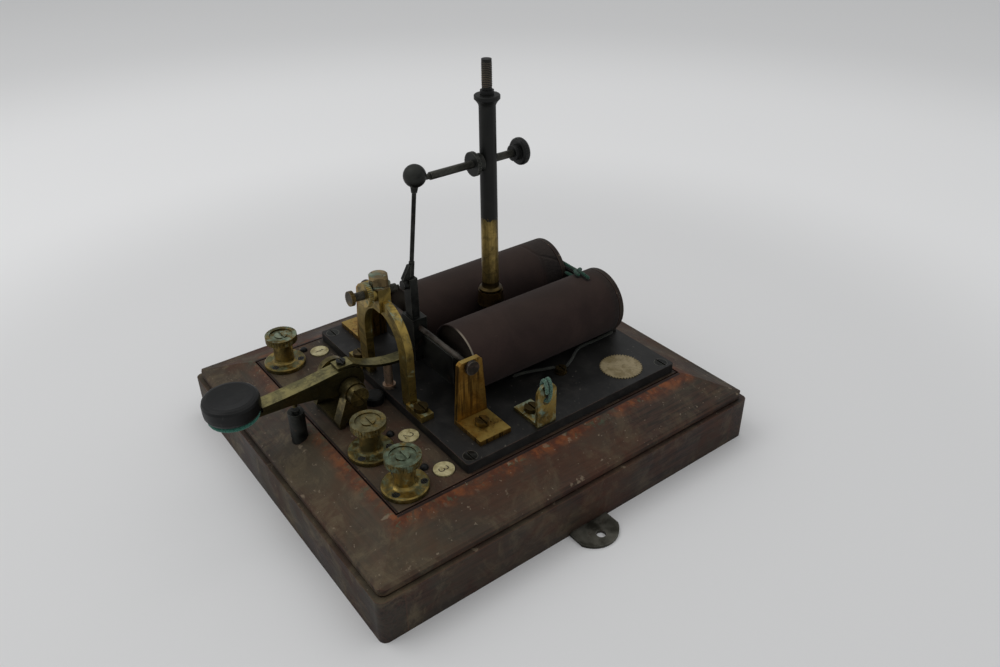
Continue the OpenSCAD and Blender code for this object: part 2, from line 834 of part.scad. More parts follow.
module seal_disc() {
    color(gilt) translate([seal_x, seal_y, slab_z]) linear_extrude(height = 0.5)
        polygon([for (i = [0 : 2 * seal_teeth - 1])
            let (a = i * 180 / seal_teeth, r = seal_d / 2 - (i % 2) * seal_bite)
            [r * cos(a), r * sin(a)]]);
}

// Key: a standard with two cheeks, an axle, a bow-bellied lever with a round pad and a knob
module cheek_plan(r, foot_w) {
    union() {
        circle(r);
        polygon([[-r * 0.94, -r * 0.34], [r * 0.94, -r * 0.34],
                 [foot_w / 2 - 3, -pivot_h + standard_t - eps], [-foot_w / 2 - 3, -pivot_h + standard_t - eps]]);
    }
}

near_cheek_x = key_x + lever_w / 2 + side_gap;
far_cheek_x = key_x - lever_w / 2 - far_hub_l - side_gap - far_cheek_t;

module cheek(x, t, r, foot_w) {
    translate([x, pivot_y, pivot_z]) rotate([90, 0, 90]) linear_extrude(height = t) cheek_plan(r, foot_w);
}

cheek_arch_r = 5.4;
cheek_arch_deep = 3.6;

module key_standard() {
    color(worn_brass) difference() {
        union() {
            cheek(near_cheek_x, near_cheek_t, near_cheek_r, 17.4);
            cheek(far_cheek_x, far_cheek_t, far_cheek_r, 20);
            translate([0, 0, panel_z]) linear_extrude(height = standard_t) polygon([
                [far_cheek_x - 3, pivot_y - 8], [far_cheek_x, pivot_y - 11.7],
                [near_cheek_x + near_cheek_t, pivot_y - 11.7],
                [near_cheek_x + near_cheek_t, pivot_y + 5.7], [far_cheek_x, pivot_y + 7]]);
            translate([key_x, standard_y, stud_bottom]) cylinder(h = panel_z - stud_bottom + 1, d = stud_d);
        }
        translate([near_cheek_x + near_cheek_t - cheek_arch_deep, pivot_y - 3, panel_z]) rotate([0, 90, 0])
            cylinder(h = near_cheek_t, r = cheek_arch_r);
        translate([far_cheek_x - 1, pivot_y, pivot_z]) rotate([0, 90, 0])
            cylinder(h = near_cheek_x + near_cheek_t - far_cheek_x + 2, d = axle_d + 2 * fit);
    }
}

axle_head_d = 11;
axle_head_t = 4.4;

module key_axle() {
    start = far_cheek_x - 3;
    stop = near_cheek_x + near_cheek_t + seat_gap;
    color(dark_steel) translate([0, pivot_y, pivot_z]) rotate([0, 90, 0]) {
        translate([0, 0, start]) cylinder(h = stop - start + 1, d = axle_d);
        translate([0, 0, stop]) difference() {
            cylinder(h = axle_head_t, d = axle_head_d);
            translate([0, 0, axle_head_t]) rotate([0, 0, 30])
                cube([axle_head_d * 2, slot_w, slot_d * 2], center = true);
        }
        translate([0, 0, start]) cylinder(h = 3 - seat_gap, d = axle_head_d - 2);
    }
}

// Side outline of the lever, counted from the pivot: level at the knob, deep at the pivot
module lever_plan() {
    tip = -knob_reach + washer_d / 2 + 0.4;
    polygon([
        [tip - 6, lever_tip_low], [tip - 6, lever_top - washer_t], [tip, lever_top - washer_t], [tip, lever_top],
        [-36, lever_top + 0.6], [-22, lever_top + 1.6], [-8, lever_top + 3.2],
        [-2, lever_top + 3.8], [4, lever_top + 3], [9, lever_top - 0.6],
        [9.6, 2], [8, -3.6], [3, -6.4], [-3, -6.3], [-12, -2.2], [-22, 0.8], [-34, 2.8]]);
}

lever_tip_low = lever_top - lever_tip_t;
contact_low = 2.2;
pad_d = washer_d - 7;

module key_lever() {
    color(worn_brass) difference() {
        union() {
            translate([key_x - lever_w / 2, pivot_y, pivot_z]) rotate([90, 0, 90])
                linear_extrude(height = lever_w) lever_plan();
            translate([key_x, knob_y, pivot_z + lever_tip_low])
                cylinder(h = lever_tip_t - washer_t, d = pad_d);
            translate([key_x - lever_w / 2 - far_hub_l, pivot_y, pivot_z]) rotate([0, 90, 0])
                cylinder(h = far_hub_l + 1, r = hub_r);
        }
        translate([key_x - lever_w - far_hub_l, pivot_y, pivot_z]) rotate([0, 90, 0])
            cylinder(h = 2 * lever_w + far_hub_l, d = axle_d + 2 * fit);
        translate([key_x, knob_y, pivot_z + lever_tip_low - 1]) cylinder(h = lever_tip_t + 2, d = knob_screw_d + 2 * fit);
        translate([key_x, tail_screw_y, tail_seat_z - tail_screw_l]) cylinder(h = 20, d = tail_screw_d + 2 * fit);
        translate([key_x, anvil_y, pivot_z - 2]) cylinder(h = tip_bore + 2, d = tip_pin_d + 2 * fit);
        translate([key_x, anvil_y, pivot_z - 2]) cylinder(h = contact_low + 2 + seat_gap, d = tip_d + 2 * fit);
    }
}

knob_screw_d = 3.4;
knob_head_d = 7;
knob_head_t = 1.8;
knob_screw_in = 8;
tail_screw_d = 2.6;
tail_head_d = 5;
tail_head_t = 2;
tail_screw_l = 7;
tail_screw_y = pivot_y - 1;
tail_seat_z = pivot_z + lever_top + 3.8;
tip_bore = 6;

module key_knob() {
    e = knob_d / 2;
    color(ebonite) translate([key_x, knob_y, pad_top]) difference() {
        rotate_extrude() polygon([
            [0, 0], [e - 2.6, 0], [e - 1, 0.9], [e - 0.2, 2.4], [e, 4.6], [e, knob_t - 2.6], [e - 0.5, knob_t - 1.1],
            [e - 1.6, knob_t - 0.3], [e - 3, knob_t], [e * 0.5, knob_t - 0.5], [0, knob_t - 0.9]]);
        translate([0, 0, -1]) cylinder(h = knob_screw_in + 1.5, d = knob_screw_d + 2 * fit);
    }
}

// Green cloth washer between the knob and the lever's round end
module knob_washer() {
    color(green_silk) translate([key_x, knob_y, pad_top - washer_t]) difference() {
        cylinder(h = washer_t, d = washer_d);
        translate([0, 0, -1]) cylinder(h = washer_t + 2, d = knob_screw_d + 2 * fit);
    }
}

// The screw that holds the knob from below and the small one that holds the tail strip
module lever_screws() {
    color(dark_steel) {
        translate([key_x, knob_y, pivot_z + lever_tip_low]) mirror([0, 0, 1])
            slotted_screw(knob_head_d, knob_head_t, knob_screw_d, lever_tip_t + knob_screw_in);
        translate([key_x, tail_screw_y, tail_seat_z + tail_t]) slotted_screw(tail_head_d, tail_head_t, tail_screw_d, tail_screw_l);
    }
}

// Tail strip: flat over the pivot, then a bow down to the rear post
rear_post_top = 2.2;
tail_end = 37;
tail_low = rear_post_top + seat_gap;
tail_high = lever_top + 3.8;

function tail_z(t) = tail_high + (tail_low - tail_high) * (1 - pow(1 - t, 2.2));
tail_steps = 10;
tail_start = 4;

module key_tail() {
    top = [for (i = [0 : tail_steps])
        let (t = i / tail_steps)
        [tail_start + t * (tail_end - tail_start), tail_z(t) + tail_t]];
    low = [for (i = [tail_steps : -1 : 0])
        let (t = i / tail_steps)
        [tail_start + t * (tail_end - tail_start), tail_z(t)]];
    color(worn_brass) difference() {
        translate([key_x - tail_w / 2, pivot_y, pivot_z]) rotate([90, 0, 90]) linear_extrude(height = tail_w)
            polygon(concat([[-5, tail_high], [-5, tail_high + tail_t]], top, low));
        translate([key_x, tail_screw_y, tail_seat_z - 1]) cylinder(h = tail_t + 2, d = tail_screw_d + 2 * fit);
    }
}

module key_contact_tip() {
    low = pivot_z + contact_low - tip_l;
    color(ivory) translate([key_x, anvil_y, low]) {
        cylinder(h = tip_l, d = tip_d);
        cylinder(h = tip_l + tip_bore - 2.8, d = tip_pin_d);
    }
}

module front_contact() {
    top = pivot_z + contact_low - tip_l - key_gap;
    color(dark_steel) difference() {
        translate([key_x, anvil_y, 0]) {
            translate([0, 0, anvil_seat]) cylinder(h = top - 1.6 - anvil_seat, d = anvil_d);
            translate([0, 0, top - 1.6 - eps]) cylinder(h = 1.6, d = anvil_d * 0.5);
            translate([0, 0, stud_bottom]) cylinder(h = anvil_seat - stud_bottom + 1, d = stud_d);
        }
        translate([key_x, anvil_y - anvil_d, anvil_seat + 4.4]) rotate([-90, 0, 0]) cylinder(h = anvil_d, d = 1.6);
    }
}

rear_pin_d = 3;
rear_pin_l = 4;

module rear_contact() {
    h = pivot_z + rear_post_top - slab_z;
    color(brass) translate([key_x, arch_y, slab_z]) {
        cylinder(h = 2, d = rear_post_d + 2.4);
        cylinder(h = h, d = rear_post_d);
        translate([0, 0, -rear_pin_l]) cylinder(h = rear_pin_l + 1, d = rear_pin_d);
    }
}

// Round black button on the panel just in front of the slab, below the tail
button_d = 11.2;
button_h = 5.6;
button_pin_d = 3;
button_pin_l = 6;

module key_button_place() {
    translate([key_x, slab_front - button_d / 2 - 0.6, panel_z]) children();
}

module ebonite_button() {
    r = button_d / 2;
    color(ebonite) key_button_place() rotate_extrude() polygon([
        [0, -button_pin_l], [button_pin_d / 2, -button_pin_l], [button_pin_d / 2, 0], [r, 0], [r, button_h - 1.4],
        [r - 0.6, button_h - 0.5], [r - 1.8, button_h], [0, button_h]]);
}

// Frame of the contact screw: its Z runs rearward and slightly down, its origin is at the arch
module contact_frame() {
    translate([mech_x, arch_y, contact_z]) rotate([-90 - contact_tilt, 0, 0]) children();
}

// Arch: an upright inverted U with feet, a boss for the contact screw and a clamping screw
module arch_plan() {
    difference() {
        union() {
            translate([0, arch_leg_h]) circle(arch_r);
            translate([-arch_r, 0]) square([2 * arch_r, arch_leg_h]);
        }
        translate([0, arch_leg_h]) circle(arch_hole_r);
        translate([-arch_hole_r, -1]) square([2 * arch_hole_r, arch_leg_h + 1]);
    }
}

module arch() {
    color(brass) difference() {
        union() {
            translate([mech_x, arch_y + arch_t / 2, slab_z]) rotate([90, 0, 0])
                linear_extrude(height = arch_t) intersection() {
                    arch_plan();
                    translate([-arch_r - 1, 0]) square([2 * arch_r + 2, arch_leg_h + arch_r + 1]);
                }
            for (side = [-1, 1])
                translate([mech_x + side * (arch_r + arch_foot / 2 - 1), arch_y, slab_z + arch_foot_t / 2])
                    cube([arch_foot + 2, arch_foot_w, arch_foot_t], center = true);
            contact_frame() translate([0, 0, arch_boss_front])
                cylinder(h = arch_boss_rear - arch_boss_front, d = arch_boss_d);
            translate([mech_x - clamp_pad_w / 2, clamp_y - clamp_pad_d / 2, slab_z + arch_leg_h + arch_hole_r + 1.6])
                cube([clamp_pad_w, clamp_pad_d, clamp_pad_top - slab_z - arch_leg_h - arch_hole_r - 1.6]);
        }
        contact_frame() cylinder(h = 40, d = contact_d + 2 * fit, center = true);
        translate([mech_x, clamp_y, contact_z + contact_d / 2 - 1]) cylinder(h = 20, d = clamp_d + 2 * fit);
        translate([mech_x, clamp_y, clamp_pad_top]) cylinder(h = 20, d = clamp_washer_d + 1.4);
        for (side = [-1, 1])
            translate([mech_x + side * arch_screw_x, arch_y, slab_z - 1])
                cylinder(h = arch_foot_t + 2, d = foot_screw_d + 2 * loose);
    }
}

module contact_screw() {
    color(dark_steel) contact_frame() translate([0, 0, -contact_head_out - contact_head_t / 2]) {
        cylinder(h = contact_end + contact_head_out + contact_head_t / 2 - 2, d = contact_d);
        cylinder(h = contact_end + contact_head_out + contact_head_t / 2, d = contact_d * 0.5);
    }
}

module contact_head() {
    color(worn_brass) contact_frame() translate([0, 0, -contact_head_out - contact_head_t]) difference() {
        milled_disc(contact_head_d, contact_head_t, 20, 0.8);
        translate([0, 0, contact_head_t / 2 - seat_gap]) cylinder(h = contact_head_t, d = contact_d + 2 * fit);
    }
}

module contact_lock_nut() {
    color(brass) contact_frame() translate([0, 0, arch_boss_front - seat_gap - contact_nut_t]) difference() {
        milled_disc(contact_nut_d, contact_nut_t, 34, 0.9);
        translate([0, 0, -1]) cylinder(h = contact_nut_t + 2, d = contact_d + 2 * fit);
    }
}

clamp_seat = clamp_pad_top + seat_gap;

clamp_foot = clamp_seat + clamp_washer_t + seat_gap;
clamp_shank = clamp_foot - contact_z - contact_d / 2 - 0.6;

// Square-headed clamping screw with bevelled upper corners
module clamp_screw() {
    color(brass) translate([mech_x, clamp_y, clamp_foot]) {
        intersection() {
            rotate([0, 0, clamp_turn]) translate([-clamp_head_w / 2, -clamp_head_w / 2, 0])
                cube([clamp_head_w, clamp_head_w, clamp_head_h]);
            rotate_extrude() polygon([
                [0, 0], [clamp_head_r, 0], [clamp_head_r, clamp_head_h - 1.2],
                [clamp_head_w * 0.48, clamp_head_h], [0, clamp_head_h]]);
        }
        translate([0, 0, -clamp_shank]) cylinder(h = clamp_shank + 1, d = clamp_d);
    }
}

module clamp_washer() {
    color(worn_brass) translate([mech_x, clamp_y, clamp_seat]) difference() {
        cylinder(h = clamp_washer_t, d = clamp_washer_d);
        translate([0, 0, -1]) cylinder(h = clamp_washer_t + 2, d = clamp_d + 2 * fit);
    }
}

// Two angle brackets carry the arbor
bracket_h = arbor_h + 4;

module arbor_bracket() {
    inner = bracket_span / 2;
    translate([inner, arbor_y, slab_z]) rotate([90, 0, 90]) linear_extrude(height = bracket_t) polygon([
        [-bracket_w / 2, 0], [bracket_w / 2, 0], [bracket_top_w / 2, bracket_h - 1.6],
        [bracket_top_w / 2 - 1.6, bracket_h], [-bracket_top_w / 2 + 1.6, bracket_h],
        [-bracket_top_w / 2, bracket_h - 1.6]]);
    translate([inner + 1, arbor_y - bracket_w / 2, slab_z]) cube([bracket_foot + bracket_t - 1, bracket_w, foot_t]);
}

module arbor_brackets() {
    color(brass) translate([mech_x, 0, 0]) difference() {
        for (side = [0, 1]) mirror([side, 0, 0]) arbor_bracket();
        translate([-bracket_span, arbor_y, arbor_z]) rotate([0, 90, 0])
            cylinder(h = 2 * bracket_span, d = arbor_d + 2 * fit);
        for (side = [-1, 1])
            translate([side * bracket_screw_x, arbor_y, slab_z - 1])
                cylinder(h = foot_t + 2, d = foot_screw_d + 2 * loose);
    }
}

// Arbor with a head screwed on outside each bracket
arbor_head_d = 8;
arbor_head_t = 1.8;

module arbor() {
    l = bracket_span + 2 * (bracket_t + seat_gap + arbor_head_t);
    color("#8d8c84") translate([mech_x - l / 2, arbor_y, arbor_z]) rotate([0, 90, 0]) {
        cylinder(h = l, d = arbor_d);
        for (x = [0, l - arbor_head_t]) translate([0, 0, x]) cylinder(h = arbor_head_t, d = arbor_head_d);
    }
}

// Thin web that slopes from the rod's ferrule down to the front of the carrier's stem
module carrier_web() {
    up = ferrule_l - 1.4;
    top_y = up * sin(rod_lean);
    top_z = up * cos(rod_lean);
    nose_y = -stem_t / 2 - stem_boss_out + 0.4;
    seat = stem_top - rod_foot_z;
    translate([-web_t / 2, stem_y, rod_foot_z]) rotate([90, 0, 90]) linear_extrude(height = web_t) polygon([
        [nose_y, seat - 0.4], [nose_y, seat + 0.5], [top_y - ferrule_d / 2 - 0.8, top_z], [top_y, top_z],
        [0, seat - 1], [-stem_t / 2, seat - 2.4]]);
}

web_t = 2.6;

// Carrier: a block on the arbor, a tongue that takes the armature and a stem that takes the rod
module hammer_carrier() {
    block_low = armature_top + seat_gap;
    block_top = arbor_z + 6;
    front = arbor_y - carrier_t / 2;
    color(dark_steel) translate([mech_x, 0, 0]) difference() {
        union() {
            carrier_web();
            translate([-carrier_w / 2, front, block_low]) cube([carrier_w, carrier_t, block_top - block_low]);
            translate([-carrier_w / 2, front, armature_low + 3])
                cube([carrier_w, armature_y - armature_t / 2 - front, block_low + 1 - armature_low - 3]);
            translate([-stem_w / 2, stem_y - stem_t / 2, block_top - 1]) cube([stem_w, stem_t, stem_top - block_top + 1]);
            translate([-mech_x, 0, 0]) contact_frame()
                translate([0, 0, stem_boss_s - stem_t / 2 - stem_boss_out]) cylinder(h = stem_boss_out + 1, d = stem_boss_d);
        }
        translate([-carrier_w, arbor_y, arbor_z]) rotate([0, 90, 0]) cylinder(h = 2 * carrier_w, d = arbor_d + 2 * fit);
        translate([0, rod_foot_y, rod_foot_z]) rotate([-rod_lean, 0, 0]) cylinder(h = ferrule_l + 1, d = ferrule_d + 2 * fit);
        armature_screw_places() rotate([90, 0, 0]) cylinder(h = 20, d = armature_screw_d + 2 * fit, center = true);
    }
}

armature_screw_d = 3;

module armature_screw_places() {
    for (side = [-1, 1])
        translate([side * 3.1, arbor_y - carrier_t / 2, armature_top - 7]) children();
}

module armature() {
    color(iron) translate([mech_x, 0, 0]) difference() {
        translate([-armature_w / 2, armature_y - armature_t / 2, armature_low]) cube([armature_w, armature_t, armature_h]);
        armature_screw_places() rotate([90, 0, 0]) cylinder(h = 40, d = armature_screw_d + 2 * fit, center = true);
    }
}

module armature_screws() {
    color(dark_steel) translate([mech_x, 0, 0]) armature_screw_places()
        rotate([90, 0, 0]) slotted_screw(5, 1.6, armature_screw_d, armature_rear - arbor_y + carrier_t / 2 - 0.5);
}

ferrule_d = 3.2;
ferrule_l = 14;

module hammer_rod() {
    color(dark_steel) translate([mech_x, rod_foot_y, rod_foot_z]) rotate([-rod_lean, 0, 0]) {
        cylinder(h = rod_l - 1, d = rod_d);
        cylinder(h = ferrule_l, d = ferrule_d);
    }
}

module hammer_ball() {
    neck_l = ball_d / 2 + 2.8;
    color(dark_steel) translate([mech_x, ball_y, ball_z]) rotate([-rod_lean, 0, 0]) difference() {
        union() {
            sphere(d = ball_d);
            rotate_extrude() polygon([
                [0, -neck_l], [rod_d / 2 + 0.4, -neck_l], [rod_d / 2 + 0.7, -neck_l + 1.8],
                [rod_d / 2 + 1, -ball_d * 0.46], [0, -ball_d * 0.46]]);
        }
        translate([0, 0, -neck_l - 1]) cylinder(h = neck_l, d = rod_d + 2 * fit);
    }
}

// Coils: iron cores, end cheeks, windings and a paper cover
module coil_places() {
    for (x = coil_x) translate([x, 0, coil_z]) rotate([-90, 0, 0]) children();
}

module cores() {
    color(iron) coil_places() difference() {
        translate([0, 0, core_front]) cylinder(h = core_rear - core_front, d = core_d);
        translate([0, 0, core_rear - yoke_screw_in - 1]) cylinder(h = yoke_screw_in + 2, d = yoke_screw_d + 2 * fit);
    }
}

cheek_front = coil_front + cheek_inset;
cheek_rear = coil_rear;

// The front cheek lies inside the paper; the rear cheek shows its rim beyond the paper's end
module coil_cheeks() {
    color(dark_wood) coil_places() difference() {
        union() {
            for (y = [cheek_front, cheek_rear - cheek_t]) translate([0, 0, y]) cylinder(h = cheek_t, r = cheek_r);
            translate([0, 0, cheek_rear - cheek_show + seat_gap])
                cylinder(h = cheek_show - seat_gap, r = cover_r - 0.2);
        }
        translate([0, 0, cheek_front - 1]) cylinder(h = coil_l + 2, d = core_d + 2 * fit);
    }
}

module windings() {
    color(green_silk) coil_places() translate([0, 0, cheek_front + cheek_t + fit]) difference() {
        cylinder(h = cheek_rear - cheek_front - 2 * cheek_t - 2 * fit, r = cheek_r);
        translate([0, 0, -1]) cylinder(h = coil_l, d = core_d + 2 * fit);
    }
}

module coil_covers() {
    color(paper_brown) coil_places() translate([0, 0, coil_front]) difference() {
        cylinder(h = coil_l - cheek_show, r = cover_r);
        translate([0, 0, -1]) cylinder(h = coil_l + 2, r = cover_r - cover_t);
    }
}

// Yoke: an iron plate that stands on the slab behind the coils
yoke_screw_d = 5;
yoke_screw_in = 10;
yoke_head_t = 1.8;
yoke_w = coil_spacing + core_d + 10;
yoke_foot_d = 3.2;
yoke_foot_x = coil_spacing / 2 - 8;
yoke_foot_in = 9;
yoke_mid = (yoke_front + yoke_rear) / 2;
yoke_top = coil_z + core_d / 2 + 2.6;

module yoke_foot_places() {
    for (side = [-1, 1]) translate([mech_x + side * yoke_foot_x, yoke_mid, panel_z]) children();
}

module yoke() {
    color(iron) difference() {
        translate([mech_x - yoke_w / 2, yoke_front, slab_z]) cube([yoke_w, yoke_t, yoke_top - slab_z]);
        coil_places() translate([0, 0, yoke_front - 1]) cylinder(h = yoke_t + 2, d = yoke_screw_d + 2 * loose);
        yoke_foot_places() cylinder(h = 2 * (slab_t + yoke_foot_in + loose), d = yoke_foot_d + 2 * loose, center = true);
    }
}

module yoke_screws() {
    color(dark_steel) {
        coil_places() translate([0, 0, yoke_rear])
            slotted_screw(9, yoke_head_t, yoke_screw_d, yoke_t + yoke_screw_in);
        yoke_foot_places() translate([0, 0, -top_t])
            mirror([0, 0, 1]) slotted_screw(6.4, 2, yoke_foot_d, top_t + slab_t + yoke_foot_in);
    }
}

// Pedestal: a flange on the slab, a slim shank between the coils and a round head above them
module pillar_pedestal() {
    r = pedestal_d / 2;
    neck_r = pedestal_neck_d / 2;
    head = pedestal_h - pedestal_head_h;
    color(worn_brass) translate([mech_x, pillar_y, slab_z]) difference() {
        rotate_extrude() polygon([
            [0, 0], [11, 0], [11, 2], [10, 2.8], [neck_r + 0.6, 3.4], [neck_r, 5], [neck_r, head - 4],
            [neck_r + 0.9, head - 1.6], [r, head], [r - 0.8, pedestal_h], [0, pedestal_h]]);
        translate([0, 0, -1]) cylinder(h = pedestal_h + 2, d = spigot_d + 2 * fit);
    }
}

// Pillar: a flared foot ring, a slow taper, a flared seat and a threaded stud
module pillar() {
    foot_r = 6.8;
    low_r = pillar_low_d / 2;
    top_r = pillar_top_d / 2;
    h = seat_z - pedestal_z;
    flare = 6;
    stud_collar_r = 3.7;
    stud_collar_h = 2.4;
    color(brass) translate([mech_x, pillar_y, pedestal_z]) difference() {
        union() {
            rotate_extrude() polygon(concat(
                [[0, 0], [foot_r - 0.5, 0], [foot_r, 0.5], [foot_r, 1.4], [foot_r - 0.5, 1.9]],
                [for (i = [1 : 6])
                    let (t = i / 6)
                    [low_r + (foot_r - 1.4 - low_r) * pow(1 - t, 2), 1.9 + t * 3]],
                [[top_r, h - flare]],
                [for (i = [1 : 5])
                    let (t = i / 5)
                    [top_r + (seat_d / 2 - top_r) * pow(t, 1.6), h - flare + t * (flare - 2.2)]],
                [[seat_d / 2, h - 0.4], [seat_d / 2 - 0.4, h], [stud_collar_r, h], [stud_collar_r, h + stud_collar_h],
                 [0, h + stud_collar_h]]));
            translate([0, 0, h]) cylinder(h = top_stud_l + stud_collar_h, d = top_stud_d);
            translate([0, 0, stud_bottom - pedestal_z]) cylinder(h = pedestal_z - stud_bottom + 1, d = spigot_d);
        }
        translate([0, -seat_d, stop_z - pedestal_z]) rotate([-90, 0, 0])
            cylinder(h = 2 * seat_d, d = stop_d + 2 * fit);
    }
}

module stop_screw() {
    l = stop_head_y + stop_head_t / 2 - stop_front;
    color(dark_steel) translate([mech_x, stop_front, stop_z]) rotate([-90, 0, 0]) {
        cylinder(h = stop_tip_l, d = stop_tip_d);
        translate([0, 0, stop_tip_l - eps]) cylinder(h = l - stop_tip_l, d = stop_d);
    }
}

module stop_head() {
    collar_d = 8.8;
    collar_t = 3.2;
    e = stop_head_d / 2;
    color(ebonite) translate([mech_x, stop_head_y, stop_z]) rotate([-90, 0, 0]) difference() {
        union() {
            translate([0, 0, -collar_t]) cylinder(h = collar_t + 1, d = collar_d);
            intersection() {
                milled_disc(stop_head_d, stop_head_t, 32, 0.8);
                rotate_extrude() polygon([
                    [0, 0], [e - 1, 0], [e - 0.2, 1], [e, stop_head_t / 2], [e - 0.2, stop_head_t - 1],
                    [e - 1, stop_head_t], [0, stop_head_t]]);
            }
        }
        translate([0, 0, -collar_t - 1]) cylinder(h = collar_t + 1 + stop_head_t / 2 + seat_gap, d = stop_d + 2 * fit);
    }
}

// Flanged lock nut in front of the pillar
module stop_lock_nut() {
    color(dark_steel) translate([mech_x, stop_nut_y, stop_z]) rotate([-90, 0, 0]) difference() {
        union() {
            milled_disc(stop_nut_d, stop_nut_t, 28, 0.8);
            translate([0, 0, stop_nut_t - eps]) cylinder(h = stop_hub_t, d = stop_hub_d);
        }
        translate([0, 0, -1]) cylinder(h = stop_nut_t + stop_hub_t + 2, d = stop_d + 2 * fit);
    }
}

// Wire terminal: an angle piece with a round eye, at the slab's right edge
module wire_terminal() {
    color(brass) difference() {
        union() {
            translate([wire_x - wire_foot, wire_y - wire_foot_w / 2, slab_z]) cube([wire_foot, wire_foot_w, wire_t]);
            translate([wire_x - wire_t, wire_y, slab_z]) rotate([90, 0, 90]) linear_extrude(height = wire_t) union() {
                translate([-wire_w / 2, 0]) square([wire_w, wire_h - wire_w / 2]);
                translate([0, wire_h - wire_w / 2]) circle(d = wire_w);
            }
        }
        translate([wire_x - 2 * wire_t, wire_y, slab_z + wire_eye_h]) rotate([0, 90, 0])
            cylinder(h = 4 * wire_t, d = wire_eye_d);
        translate([wire_screw_x, wire_y, slab_z - 1]) cylinder(h = wire_t + 2, d = foot_screw_d + 2 * loose);
    }
}

// A tube swept along points, with a ring square to the route at each point
function unit(v) = v / norm(v);
function heading(p, i) = unit(p[min(i + 1, len(p) - 1)] - p[max(i - 1, 0)]);
function side_of(t) = unit(cross(t, abs(t[2]) > 0.9 ? [1, 0, 0] : [0, 0, 1]));
function tube_ring(c, t, r, sides) =
    let (u = side_of(t), v = cross(t, u))
    [for (k = [0 : sides - 1]) let (a = k * 360 / sides) c + r * (cos(a) * u + sin(a) * v)];

module tube(p, d, sides) {
    n = len(p);
    rings = [for (i = [0 : n - 1]) each tube_ring(p[i], heading(p, i), d / 2, sides)];
    walls = [for (i = [0 : n - 2], k = [0 : sides - 1])
        let (a = i * sides + k, b = i * sides + (k + 1) % sides)
        each [[a, b, a + sides], [b, b + sides, a + sides]]];
    ends = [for (k = [1 : sides - 2]) each [
        [0, k + 1, k],
        [(n - 1) * sides, (n - 1) * sides + k, (n - 1) * sides + k + 1]]];
    polyhedron(rings, concat(walls, ends));
}

// Smooth route through hand-set points
function spline_point(a, b, c, d, t) =
    0.5 * (2 * b + (c - a) * t + (2 * a - 5 * b + 4 * c - d) * t * t + (3 * b - a - 3 * c + d) * t * t * t);
function route(p, steps) = concat(
    [for (i = [0 : len(p) - 2], s = [0 : steps - 1])
        spline_point(p[max(i - 1, 0)], p[i], p[i + 1], p[min(i + 2, len(p) - 1)], s / steps)],
    [p[len(p) - 1]]);

lead_d = 1.8;
lead_side = 10.6;
lead_lift = slab_z + lead_d / 2 + seat_gap;
lead_end = lead_washer_d / 2 + lead_d / 2 + seat_gap;
far_x = coil_x[0];
near_x = coil_x[1];

// Point on a coil's surface for a wire of thickness d, a degrees round from the coil's top
function on_coil(x, a, y, d) =
    let (r = cover_r + d / 2 + seat_gap)
    [x + r * sin(a), y, coil_z + r * cos(a)];

// Two cloth-covered leads on the slab: from the right coil's rear end and from below its middle
module coil_leads() {
    side = near_x + lead_side;
    color("#3c403a") {
        tube(route([
            on_coil(near_x, 128, coil_rear - 5, lead_d), on_coil(near_x, 138, coil_rear - 9, lead_d),
            [side + 1.2, coil_rear - 15, lead_lift + 0.6], [side + 1, lead_y + 24, lead_lift],
            [lead_x - 4.6, lead_y + 12, lead_lift], [lead_x - 1.2, lead_y + lead_end, lead_lift]], 5), lead_d, 8);
        tube(route([
            [lead_x - lead_end, lead_y - 0.6, lead_lift], [lead_x - lead_end - 1.2, lead_y - 6, lead_lift + 0.4],
            [lead_x - 9.6, lead_y - 13, lead_lift], [side + 0.6, lead_y - 20, lead_lift],
            [side + 0.2, lead_y - 26, lead_lift]], 5), lead_d, 8);
    }
}

green_d = 2.2;
wire_slack = 0.8;

// Distance from a point to the straight stretch between two others.
function off_stretch(p, a, b) =
    let (t = max(0, min(1, (p - a) * (b - a) / ((b - a) * (b - a)))))
    norm(p - a - t * (b - a));

